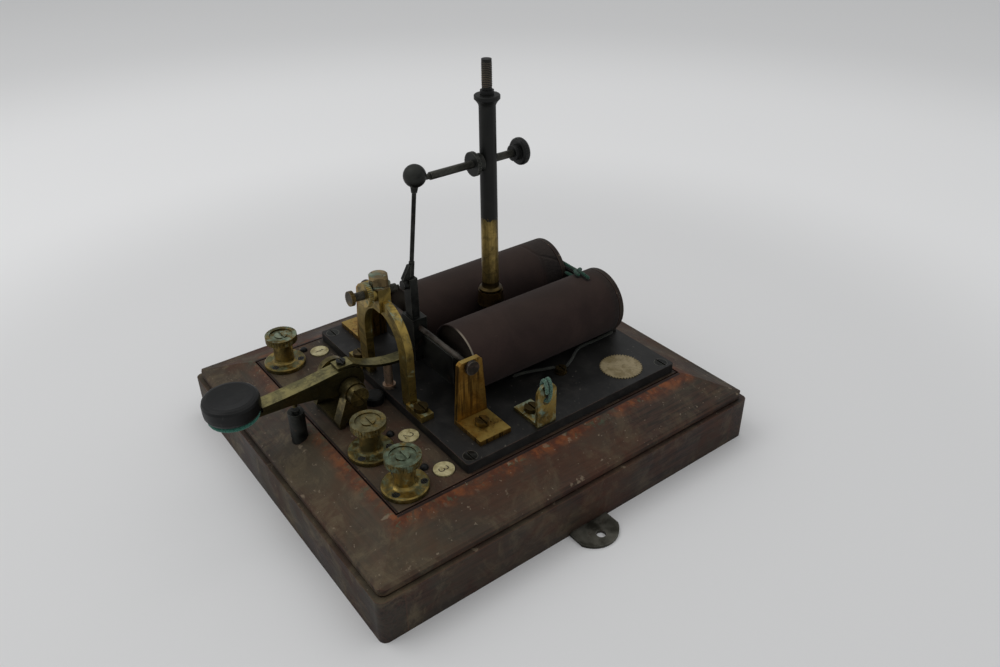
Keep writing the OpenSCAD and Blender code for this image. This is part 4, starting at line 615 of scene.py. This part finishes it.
class MetalSettings(bpy.types.PropertyGroup):
    """Colours of the brass and where the pillar's finish changes"""
    gold: bpy.props.FloatVectorProperty(
        name="Clean brass", description="Colour of the brass where it is rubbed clean",
        size=4, default=tone("#9f874a"), min=0, max=1, subtype="COLOR")
    olive: bpy.props.FloatVectorProperty(
        name="Aged brass", description="Colour of the brass where it has dulled",
        size=4, default=tone("#544c2d"), min=0, max=1, subtype="COLOR")
    dark: bpy.props.FloatVectorProperty(
        name="Browned brass", description="Colour of the darkest spots on the brass",
        size=4, default=tone("#1f1b12"), min=0, max=1, subtype="COLOR")
    lacquer_level: bpy.props.FloatProperty(
        name="Lacquer starts", description="Height at which the pillar's black lacquer starts",
        default=0.1327, precision=4, subtype="DISTANCE", unit="LENGTH")
    foot_level: bpy.props.FloatProperty(
        name="Browned foot ends", description="Height up to which the pillar's foot has browned",
        default=0.0925, precision=4, subtype="DISTANCE", unit="LENGTH")


class WireSettings(bpy.types.PropertyGroup):
    """Covering thread of the wires"""
    lay: bpy.props.FloatProperty(
        name="Thread lay", description="Length of wire in which a covering thread goes round once",
        default=1.5 * MM, min=0.5 * MM, max=6 * MM, precision=4, subtype="DISTANCE", unit="LENGTH")
    depth: bpy.props.FloatProperty(
        name="Thread depth", description="Depth between the threads, as a share of the wire's radius",
        default=0.16, min=0, max=0.4, subtype="FACTOR")


class PaperSettings(bpy.types.PropertyGroup):
    """Shape of the rolled paper"""
    seam: bpy.props.FloatProperty(
        name="Seam", description="Where the paper's seam lies, turned from the top",
        default=math.radians(205), subtype="ANGLE", unit="ROTATION")
    ragged: bpy.props.FloatProperty(
        name="Ragged ends", description="How far the ends of the paper wander",
        default=0.3 * MM, min=0, max=1 * MM, precision=4, subtype="DISTANCE", unit="LENGTH")


SETTINGS = {
    "instrument_stage": StageSettings, "instrument_wood": WoodSettings, "instrument_metal": MetalSettings,
    "instrument_wire": WireSettings, "instrument_paper": PaperSettings,
}


class BuildWood(bpy.types.Operator):
    """Box, moulded board, bottom board, coil cheeks and the black slab"""
    bl_idname = "instrument.wood"
    bl_label = "Wood"

    def execute(self, context):
        s = context.scene.instrument_wood
        mahogany = ("#1a110b", "#38231a", s.red, s.dust)
        deal = ("#2a1c14", "#4b3526", "#54392a", "#5d5145")
        stained = ("#120c09", "#221812", "#241712", "#332b24")
        paint(wood_finish("mahogany_ends", "x", *mahogany, wear=False), "plinth_ends")
        paint(wood_finish("mahogany_sides", "y", *mahogany, wear=False), "plinth_sides")
        paint(wood_finish("mahogany_moulding", "border", *mahogany, wear=True), "top_board")
        paint(wood_finish("deal_bottom", "y", *deal, wear=False), "bottom_board")
        paint(wood_finish("stained_cheeks", "x", *stained, wear=False), "coil_cheeks")
        paint(slab_finish(), "slab")
        return {"FINISHED"}


class BuildBrass(bpy.types.Operator):
    """Every brass and copper part"""
    bl_idname = "instrument.brass"
    bl_label = "Brass"

    def execute(self, context):
        m = context.scene.instrument_metal
        self.terminals((m.gold, m.olive, m.dark))
        self.key()
        self.arch_and_brackets((m.gold, m.olive, m.dark))
        self.pillar(m)
        self.below((m.gold, m.olive, m.dark))
        return {"FINISHED"}

    def terminals(self, brass):
        """The three terminals: dull, beige and green caps."""
        paint(brass_finish("brass_terminals", *brass, tarnish=0.62, crust=0.3, green=("#45513c", "#6b7256")),
              "terminal_pillars")
        paint(brass_finish("brass_shanks", *brass, tarnish=0.6, thread=(2, 0.0009)),
              "terminal_shank_1", "terminal_shank_2", "terminal_shank_3")
        paint(brass_finish("brass_cap_dull", *brass, tarnish=0.7, crust=0.4), "terminal_cap_1")
        paint(brass_finish("brass_cap_beige", *brass, tarnish=0.8, crust=0.8, green=("#46452f", "#6d6a4d")),
              "terminal_cap_2")
        paint(brass_finish("brass_cap_green", *brass, tarnish=0.8, crust=0.9, green=("#3c4a3c", "#64735f")),
              "terminal_cap_3")

    def key(self):
        """The tapper key, brushed along its length, with painted shade on the sides of the lever and tail."""
        brushed = (900, 60, 900)
        paint(brass_finish("brass_key", "#9d9361", "#6a6648", "#25221a", tarnish=0.6, brushed=brushed,
                           painted_side_shade=0.8), "key_lever", "key_tail")
        paint(brass_finish("brass_key_stand", "#85764a", "#50492f", "#1e1a12", tarnish=0.8, brushed=brushed),
              "key_standard", "key_axle", "key_contact_tip")
        paint(brass_finish("brass_contact_bright", "#c7ac95", "#a5907b", "#4a3b2c", tarnish=0.3),
              "rear_contact")

    def arch_and_brackets(self, brass):
        """The arch with its screws, the arbor's brackets and the wire terminal, with painted light on the
        brackets' upward faces.
        """
        paint(brass_finish("brass_arch", "#a8904e", "#6b5d34", "#251f13", tarnish=0.55, crust=0.12), "arch")
        paint(brass_finish("brass_brackets", "#a07c3c", "#71501f", "#2a1c0c", tarnish=0.45,
                           brushed=(520, 520, 22), brush_share=0.75, painted_top_light="#ab9350"), "arbor_brackets")
        paint(brass_finish("brass_wire_terminal", *brass, tarnish=0.45, crust=0.55), "wire_terminal")
        paint(brass_finish("brass_clamp", "#a58f6a", "#6f6044", "#2b2318", tarnish=0.6, crust=0.2),
              "clamp_screw", "clamp_washer")
        paint(brass_finish("brass_lock_nut", *brass, tarnish=0.6, crust=0.45), "contact_lock_nut")
        paint(brass_finish("brass_contact_head", "#8d7440", "#3a3121", "#15120d", tarnish=0.9),
              "contact_head")

    def pillar(self, settings):
        """The pillar, brass below and black lacquer above, on its pedestal."""
        paint(brass_finish("brass_pedestal", "#8a6f3e", "#4a3a22", "#1d160e", tarnish=0.9), "pillar_pedestal")
        paint(brass_finish("brass_pillar", "#917c48", "#5a4e2f", "#241e14", tarnish=0.55,
                           brushed=(1000, 1000, 50), dark_below=settings.foot_level,
                           lacquer_above=settings.lacquer_level), "pillar")

    def below(self, brass):
        """Straps and windings in copper, nuts and foot screws in brass."""
        copper = ("#a5623c", "#5a3524")
        paint(copper_finish("copper_straps", *copper), "under_straps")
        paint(copper_finish("winding_wire", *copper), "windings")
        paint(brass_finish("brass_nuts", *brass, tarnish=0.6), "under_nuts")
        paint(brass_finish("brass_foot_screws", "#7d6a3f", "#42371f", "#1b160e", tarnish=0.8), "foot_screws")


class BuildSteel(bpy.types.Operator):
    """Iron, blued steel, ebonite and the small trim"""
    bl_idname = "instrument.steel"
    bl_label = "Steel and trim"

    def execute(self, context):
        paint(steel_finish("blued_steel", "#363734", "#151615", 0.35), "armature", "armature_screws",
              "hammer_carrier", "front_contact", "hammer_rod", "hammer_ball", "stop_lock_nut", "lever_screws",
              "slab_screws", "terminal_screws", "yoke_screws", "base_screws")
        paint(steel_finish("steel_stop_thread", "#4a4a45", "#24241f", 0.5, (1, 0.0008)), "stop_screw")
        paint(steel_finish("steel_contact_thread", "#55534a", "#26251f", 0.4, (1, 0.0008)), "contact_screw")
        paint(steel_finish("arbor_rusty", "#55504a", "#2b2621", 0.9), "arbor")
        paint(steel_finish("iron_plain", "#4b4a44", "#262522", 0.6), "cores", "yoke")
        paint(steel_finish("lug_worn", "#6a685f", "#38372f", 0.35, rough_range=(0.45, 0.7)),
              "bench_lugs")
        paint(ebonite_finish(), "key_knob", "panel_pins", "ebonite_button", "stop_head")
        paint(ivory_finish(), "number_discs")
        paint(gilt_finish(), "seal_disc")
        return {"FINISHED"}


class BuildWires(bpy.types.Operator):
    """The silk-covered strands between the coils, the wire through the eye and the cloth-covered leads"""
    bl_idname = "instrument.wires"
    bl_label = "Wires"

    silk_d = 2.2
    lead_d = 1.8
    route_steps = 12
    ring_step = 0.25
    plies = 2

    def execute(self, context):
        s = context.scene.instrument_wire
        link = self.links(s)
        self.eye_turns(s)
        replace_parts(link, "green_wires")
        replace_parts(self.leads(s), "coil_leads")
        return {"FINISHED"}

    def strand(self, settings, name, route, thick, sides, finish, slot):
        """One covered wire along a route."""
        rings = evenly(route, self.ring_step)
        verts, faces = covered_wire(rings, thick / 2, sides, self.plies, settings.lay / MM, settings.depth)
        return piece(name, verts, faces, finish, "base")

    def on_coil(self, which, turn, y, thick):
        """A place on a coil's paper. turn is in degrees from the top towards +X."""
        r, angle = COVER_R + thick / 2 + WIRE_GAP, math.radians(turn)
        return (COIL_X[which] + r * math.sin(angle), y, COIL_Z + r * math.cos(angle))

    def links(self, settings):
        """The three green strands from the far coil to the near one, the highest of them over the yoke."""
        d, rear = self.silk_d, in_mm("coil_cheeks")[1].y
        yoke_low, yoke_high = in_mm("yoke")
        up = yoke_high.z + d / 2 + WIRE_GAP
        yoke = (yoke_low.y + yoke_high.y) / 2
        far = COIL_X["far"]
        mid = (far + COIL_X["near"]) / 2

        def near(*places):
            return [self.on_coil("near", turn, rear - back, d) for turn, back in places]

        routes = {
            "silk_link": [(far + 11, yoke - 0.4, up), (far + 17, yoke - 0.7, up), (mid - 3, yoke - 0.9, up),
                          (mid + 3.6, yoke - 1.1, up + 0.1)]
            + near((-62, 0.4), (-53, 2.2), (-44, 4), (-34, 7.6), (-22, 11.4), (-12, 13.6), (-3, 14.7),
                   (5, 15), (12, 15.2)),
            "silk_link_second": [self.on_coil("far", 74, rear - 1.7, d), (mid, rear - 1.7, COIL_Z + 6.3)]
            + near((-70, 2.2), (-58, 4.4), (-46, 7.4), (-34, 11), (-22, 14.6), (-12, 16.8), (-3, 17.8)),
            "silk_link_low": [self.on_coil("far", 87, rear - 1.8, d), (mid, rear - 2, COIL_Z + 1.6)]
            + near((-86, 2)),
        }
        silk, steps = cloth_finish("silk_green", "#1f4e3c", "#0b231b"), self.route_steps
        made = [self.strand(settings, name, smooth_route(points, steps), d, 16, silk, "cloth_green")
                for name, points in routes.items()]
        return made[0]

    def eye_turns(self, settings):
        """The wire wound twice through the eye of its terminal and over the top."""
        low, high = in_mm("wire_terminal")
        middle = Vector((high.x - 1, (low.y + high.y) / 2, SLAB_TOP + 21.8))
        turns, steps, pitch, across, tall = 2, 72, 2.7, 2.9, 6.7
        loop = []
        for i in range(steps // 4, turns * steps - steps // 4 + 1):
            angle = math.radians(-90 + i * 360 / steps)
            loop.append(middle + Vector((across * math.cos(angle), pitch * (i / steps - turns / 2),
                                         tall * math.sin(angle))))
        silk = cloth_finish("silk_green_dusty", "#62806f", "#2a463b")
        self.strand(settings, "silk_turns", loop, self.silk_d, 16, silk, "cloth_green")

    def leads(self, settings):
        """The two leads from the near coil to their screw on the slab."""
        d, coil_rear = self.lead_d, in_mm("coil_cheeks")[1].y
        side = COIL_X["near"] + 10.6
        lift = SLAB_TOP + d / 2 + WIRE_GAP
        screw_x, screw_y, clear = 46.6, 36.8, 4.9
        rear = [
            self.on_coil("near", 128, coil_rear - 5, d), self.on_coil("near", 138, coil_rear - 9, d),
            (side + 1.2, coil_rear - 15, lift + 0.6), (side + 1, screw_y + 24, lift),
            (screw_x - 4.6, screw_y + 12, lift), (screw_x - 1.2, screw_y + clear, lift)]
        front = [
            (screw_x - clear, screw_y - 0.6, lift), (screw_x - clear - 1.2, screw_y - 6, lift + 0.4),
            (screw_x - 9.6, screw_y - 13, lift), (side + 0.6, screw_y - 20, lift),
            (side + 0.2, screw_y - 26, lift)]
        cloth, steps = cloth_finish("cloth_dark", "#343730", "#171916"), self.route_steps
        made = [self.strand(settings, name, smooth_route(points, steps), d, 14, cloth, "cloth_dark")
                for name, points in (("lead_rear", rear), ("lead_front", front))]
        return made[0]


class BuildPaper(bpy.types.Operator):
    """The rolled paper on the two coils, with its seam and uneven ends"""
    bl_idname = "instrument.paper"
    bl_label = "Coil paper"

    # Creases near the rear of the far coil: degrees from the top, and the distance along the coil in mm
    folds = (((-20, 70), (-3, 70.3), (15, 70.9), (29, 73.3), (38, 78.6), (50, 84.9)),
             ((29, 73.3), (39, 73.6), (51, 72.8), (66, 71.1), (84, 69.9), (120, 69)))
    folds_from = 60
    fold_depth = 0.5
    fold_width = 0.75

    def execute(self, context):
        s = context.scene.instrument_paper
        folded = paper_finish("coil_paper_folded", "#221714", "#2e211d", 0.0735, 0.8)
        maroon = paper_finish("coil_paper_maroon", "#241815", "#31231f", 0.0812, 0.6)
        first = self.cover(s, "far", folded, 3.0, self.folds)
        self.cover(s, "near", maroon, 11.0, ())
        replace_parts(first, "coil_covers")
        return {"FINISHED"}

    def cover(self, settings, which, finish, seed, folds):
        """One coil's paper."""
        verts, faces = self.roll(COIL_X[which], settings.seam, settings.ragged / MM, seed, folds)
        return piece(f"coil_paper_{which}", verts, faces, finish, "base")

    def crease(self, folds, deg, y):
        """How deep a crease lies at a place, from 0 to 1: a narrow valley along each line of folds."""
        deep = 0.0
        for line in folds:
            for (a0, y0), (a1, y1) in zip(line, line[1:]):
                k = math.radians(COVER_R)
                u, w = (a1 - a0) * k, y1 - y0
                t = ((deg - a0) * k * u + (y - y0) * w) / (u * u + w * w)
                t = min(1.0, max(0.0, t))
                off = math.hypot((deg - a0) * k - t * u, y - y0 - t * w)
                deep = max(deep, math.exp(-(off / self.fold_width) ** 2))
        return deep

    def outer(self, a, y, share, seed, folds):
        """The outer skin's radius: a little dented, lower towards the end of the sheet, and creased."""
        sunk, dent_deep, lap, least = 0.02, 0.12, 0.22, 0.1
        dent = noise.noise(Vector((math.sin(a) * 2.4, math.cos(a) * 2.4, y * 0.045 + seed)))
        r = COVER_R - sunk - dent_deep * (0.5 + 0.5 * dent) - lap * share
        if y > self.folds_from:
            turned = (math.degrees(a) + 180) % 360 - 180
            r = max(COVER_R - PAPER_WALL + least, r - self.fold_depth * self.crease(folds, turned, y))
        return r

    def roll(self, x, seam, ragged, seed, folds):
        """A rolled sheet: outer and inner skin, a step at the seam, and ends that wander a little."""
        around, along = 216, 150
        verts = []
        for skin in (0, 1):
            for j in range(along + 1):
                for i in range(around + 1):
                    a = seam + 2 * math.pi * i / around
                    front_wave = noise.noise(Vector((math.sin(a) * 1.6, math.cos(a) * 1.6, seed)))
                    rear_wave = noise.noise(Vector((math.sin(a) * 2.2, math.cos(a) * 2.2, seed + 5)))
                    low = COVER_LOW.y + ragged * (0.5 + 0.5 * front_wave)
                    high = COVER_HIGH.y - ragged * (0.5 + 0.5 * rear_wave)
                    y = low + (high - low) * j / along
                    r = COVER_R - PAPER_WALL if skin else self.outer(a, y, i / around, seed, folds)
                    verts.append((x + r * math.sin(a), y, COIL_Z + r * math.cos(a)))
        row, skin = around + 1, (around + 1) * (along + 1)
        faces = []
        for j in range(along):
            for i in range(around):
                a = j * row + i
                faces.append((a, a + row, a + row + 1, a + 1))
                faces.append((skin + a, skin + a + 1, skin + a + row + 1, skin + a + row))
        for i in range(around):
            faces.append((i, i + 1, skin + i + 1, skin + i))
            a = along * row + i
            faces.append((a, skin + a, skin + a + 1, a + 1))
        for j in range(along):
            a, b = j * row, j * row + around
            faces.append((a, skin + a, skin + a + row, a + row))
            faces.append((b, b + row, skin + b + row, skin + b))
        return verts, faces


class BuildWasher(bpy.types.Operator):
    """The cloth washer below the key's knob"""
    bl_idname = "instrument.washer"
    bl_label = "Cloth washer"

    def execute(self, context):
        low, high = in_mm("knob_washer")
        middle, r, thick = (low + high) / 2, (high.x - low.x) / 2, high.z - low.z
        around, bore, fuzz_deep = 96, 2.2, 0.12
        section = [(bore, 0.02), (r * 0.5, 0.0), (r - 1.2, 0.03), (r - 0.35, 0.2), (r, 0.5),
                   (r - 0.3, 0.8), (r - 1.1, 0.97), (r * 0.5, 1.0), (bore, 1.0)]
        verts, faces, n = [], [], len(section)
        for i in range(around):
            a = 2 * math.pi * i / around
            for k, (q, h) in enumerate(section):
                if 1 < k < 7:
                    fuzz = noise.noise(Vector((math.cos(a) * 9, math.sin(a) * 9, k * 0.7)))
                    q = min(r, q + fuzz_deep * (fuzz - 1))
                verts.append((middle.x + q * math.cos(a), middle.y + q * math.sin(a), low.z + h * thick))
        for i in range(around):
            j = (i + 1) % around
            for k in range(n):
                m = (k + 1) % n
                faces.append((i * n + k, j * n + k, j * n + m, i * n + m))
        felt = cloth_finish("baize_washer", "#3f7a6a", "#1d4a40")
        made = piece("baize_washer", verts, faces, felt, "key")
        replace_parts(made, "knob_washer")
        return {"FINISHED"}


class BuildNumbers(bpy.types.Operator):
    """Plain numbers on the three discs beside the terminals"""
    bl_idname = "instrument.numbers"
    bl_label = "Numbers"

    disc_x = {1: -69.0, 2: 36.0, 3: 70.0}
    stroke = 0.62
    relief = 0.04

    def bow(self, cx, cy, r, start, end, steps=14):
        """Points along a round stroke, from one angle to another in degrees."""
        angles = [math.radians(start + (end - start) * i / steps) for i in range(steps + 1)]
        return [(cx + r * math.cos(a), cy + r * math.sin(a)) for a in angles]

    def execute(self, context):
        low, high = in_mm("number_discs")
        middle_y, top = (low.y + high.y) / 2, high.z
        strokes = {
            1: [[(-0.9, 1.5), (0.15, 2.6), (0.15, -2.6)]],
            2: [self.bow(0, 1.1, 1.5, 165, -35) + [(-1.5, -2.5), (1.7, -2.5)]],
            3: [self.bow(-0.1, 1.25, 1.3, 150, -90), self.bow(-0.1, -1.25, 1.45, 90, -150)],
        }
        ink = ink_finish()
        for number, x in self.disc_x.items():
            verts, faces = [], []
            for line in strokes[number]:
                points = [Vector((x + u, middle_y + w)) for u, w in line]
                v, f = ribbon(points, self.stroke, top - self.relief, top + self.relief)
                faces += [tuple(i + len(verts) for i in face) for face in f]
                verts += v
            piece(f"number_{number}", verts, faces, ink, "base", smooth=False)
        return {"FINISHED"}


class BuildThread(bpy.types.Operator):
    """The screw thread on the pillar's bare stud"""
    bl_idname = "instrument.thread"
    bl_label = "Stud thread"

    def execute(self, context):
        pillar_low, pillar_high = in_mm("pillar")
        middle = (pillar_low + pillar_high) / 2
        bare_tip, length = 1.0, 13.6
        root, crest, sunk, half_wide = 2.66, 2.9, 0.1, 0.32
        pitch, sides = 0.9, 28
        low = pillar_high.z - bare_tip - length
        rings = int(length / pitch * sides)
        verts, faces = [], []
        for i in range(rings + 1):
            a, z = 2 * math.pi * i / sides, low + length * i / rings
            fade = min(1.0, i / sides, (rings - i) / sides)
            ridge = root + (crest - root) * fade
            for r, dz in ((root - sunk, -half_wide), (ridge, 0.0), (root - sunk, half_wide)):
                verts.append((middle.x + r * math.cos(a), middle.y + r * math.sin(a), z + dz))
        for i in range(rings):
            for k in range(3):
                a, b = 3 * i + k, 3 * i + (k + 1) % 3
                faces.append((a, a + 3, b + 3, b))
        faces.append((0, 1, 2))
        faces.append((3 * rings + 2, 3 * rings + 1, 3 * rings))
        worn = steel_finish("stud_thread_worn", "#6a5a48", "#352c24", 0.8)
        piece("stud_thread", verts, faces, worn, "base")
        return {"FINISHED"}


class BuildStage(bpy.types.Operator):
    """Plain floor, soft light and the camera"""
    bl_idname = "instrument.stage"
    bl_label = "Stage"

    def execute(self, context):
        s = context.scene.instrument_stage
        self.floor(context.scene, s.floor_tone)
        self.even_light(context.scene, s.fill)
        self.lamp(context.scene, "key_light", (-0.55, -0.75, 1.35), 1.1, s.key_power)
        self.lamp(context.scene, "top_light", (0.1, 0.5, 1.6), 1.6, s.top_power)
        self.camera(context.scene, s)
        context.scene.view_settings.view_transform = "Standard"
        return {"FINISHED"}

    def floor(self, scene, shade):
        """A wide plane whose tone changes only with the distance from the instrument: painted light, paler in
        a ring round it and dimmer far off.
        """
        f = Finish("floor_paper")
        x, y, _ = f.axes()
        # Painted light on the floor: paler in a ring round the instrument, dimmer far off
        away = f.math("SQRT", f.math("ADD", f.times(x, x), f.times(y, y)))
        painted_light_ring = f.band(away, 0.3, 0.52, shade, shade * 1.17)
        painted_floor_light = f.times(painted_light_ring, f.band(away, 0.7, 1.15, 1.0, 0.87))
        mixed = f.add("ShaderNodeCombineColor")
        for i in range(3):
            f.put(mixed.inputs[i], painted_floor_light)
        f.colour = mixed.outputs[0]
        finish = f.done(0.95, gloss=0.1, plain=(shade, shade, shade, 1))
        half = 9
        corners = [(-half, -half, 0), (half, -half, 0), (half, half, 0), (-half, half, 0)]
        mesh = bpy.data.meshes.new("floor")
        mesh.from_pydata(corners, [], [(0, 1, 2, 3)])
        mesh.materials.append(finish)
        floor = bpy.data.objects.new("floor", mesh)
        scene.collection.objects.link(floor)

    def even_light(self, scene, strength):
        """Light of one strength from all sides."""
        world = bpy.data.worlds.new("even_light")
        world.use_nodes = True
        sky = world.node_tree.nodes["Background"]
        sky.inputs["Color"].default_value = (0.98, 0.99, 1.0, 1)
        sky.inputs["Strength"].default_value = strength
        scene.world = world

    def lamp(self, scene, name, at, size, power):
        """A square soft light that points at the instrument."""
        data = bpy.data.lights.new(name, "AREA")
        data.shape, data.size, data.energy = "SQUARE", size, power
        lamp = bpy.data.objects.new(name, data)
        lamp.location = at
        lamp.rotation_mode = "QUATERNION"
        lamp.rotation_quaternion = (Vector((0, 0, 0.05)) - Vector(at)).to_track_quat("-Z", "Y")
        scene.collection.objects.link(lamp)

    def camera(self, scene, settings):
        """The camera at the photograph's viewing angle."""
        data = bpy.data.cameras.new("camera")
        data.lens, data.sensor_width, data.sensor_fit = settings.lens, 36, "HORIZONTAL"
        data.clip_start, data.clip_end = 0.01, 50
        cam = bpy.data.objects.new("camera", data)
        back = -Vector(settings.ahead).normalized()
        up = -Vector(settings.down)
        up = (up - back * up.dot(back)).normalized()
        right = up.cross(back)
        turn = Matrix((right, up, back)).transposed().to_4x4()
        cam.matrix_world = Matrix.Translation(Vector(settings.camera)) @ turn
        scene.collection.objects.link(cam)
        scene.camera = cam


STEPS = (BuildStage, BuildWood, BuildBrass, BuildSteel, BuildPaper, BuildWires, BuildWasher, BuildNumbers,
         BuildThread)


class InstrumentPanel(bpy.types.Panel):
    """Lists the steps and their settings"""
    bl_idname = "VIEW3D_PT_instrument"
    bl_label = "Instrument"
    bl_space_type = "VIEW_3D"
    bl_region_type = "UI"
    bl_category = "Instrument"

    def draw(self, context):
        for step in STEPS:
            self.layout.operator(step.bl_idname, text=step.bl_label)
        for name in SETTINGS:
            group = getattr(context.scene, name)
            for key in group.bl_rna.properties.keys():
                if key not in ("rna_type", "name"):
                    self.layout.prop(group, key)


def register():
    for group in SETTINGS.values():
        bpy.utils.register_class(group)
    for step in STEPS:
        bpy.utils.register_class(step)
    bpy.utils.register_class(InstrumentPanel)
    for name, group in SETTINGS.items():
        setattr(bpy.types.Scene, name, bpy.props.PointerProperty(type=group))


def unregister():
    for name in SETTINGS:
        delattr(bpy.types.Scene, name)
    bpy.utils.unregister_class(InstrumentPanel)
    for step in reversed(STEPS):
        bpy.utils.unregister_class(step)
    for group in reversed(list(SETTINGS.values())):
        bpy.utils.unregister_class(group)


def main():
    register()
    for step in STEPS:
        group, action = step.bl_idname.split(".")
        if getattr(getattr(bpy.ops, group), action)() != {"FINISHED"}:
            raise RuntimeError(f"{step.bl_idname} did not finish")
    bpy.context.view_layer.update()


if __name__ == "__main__":
    main()
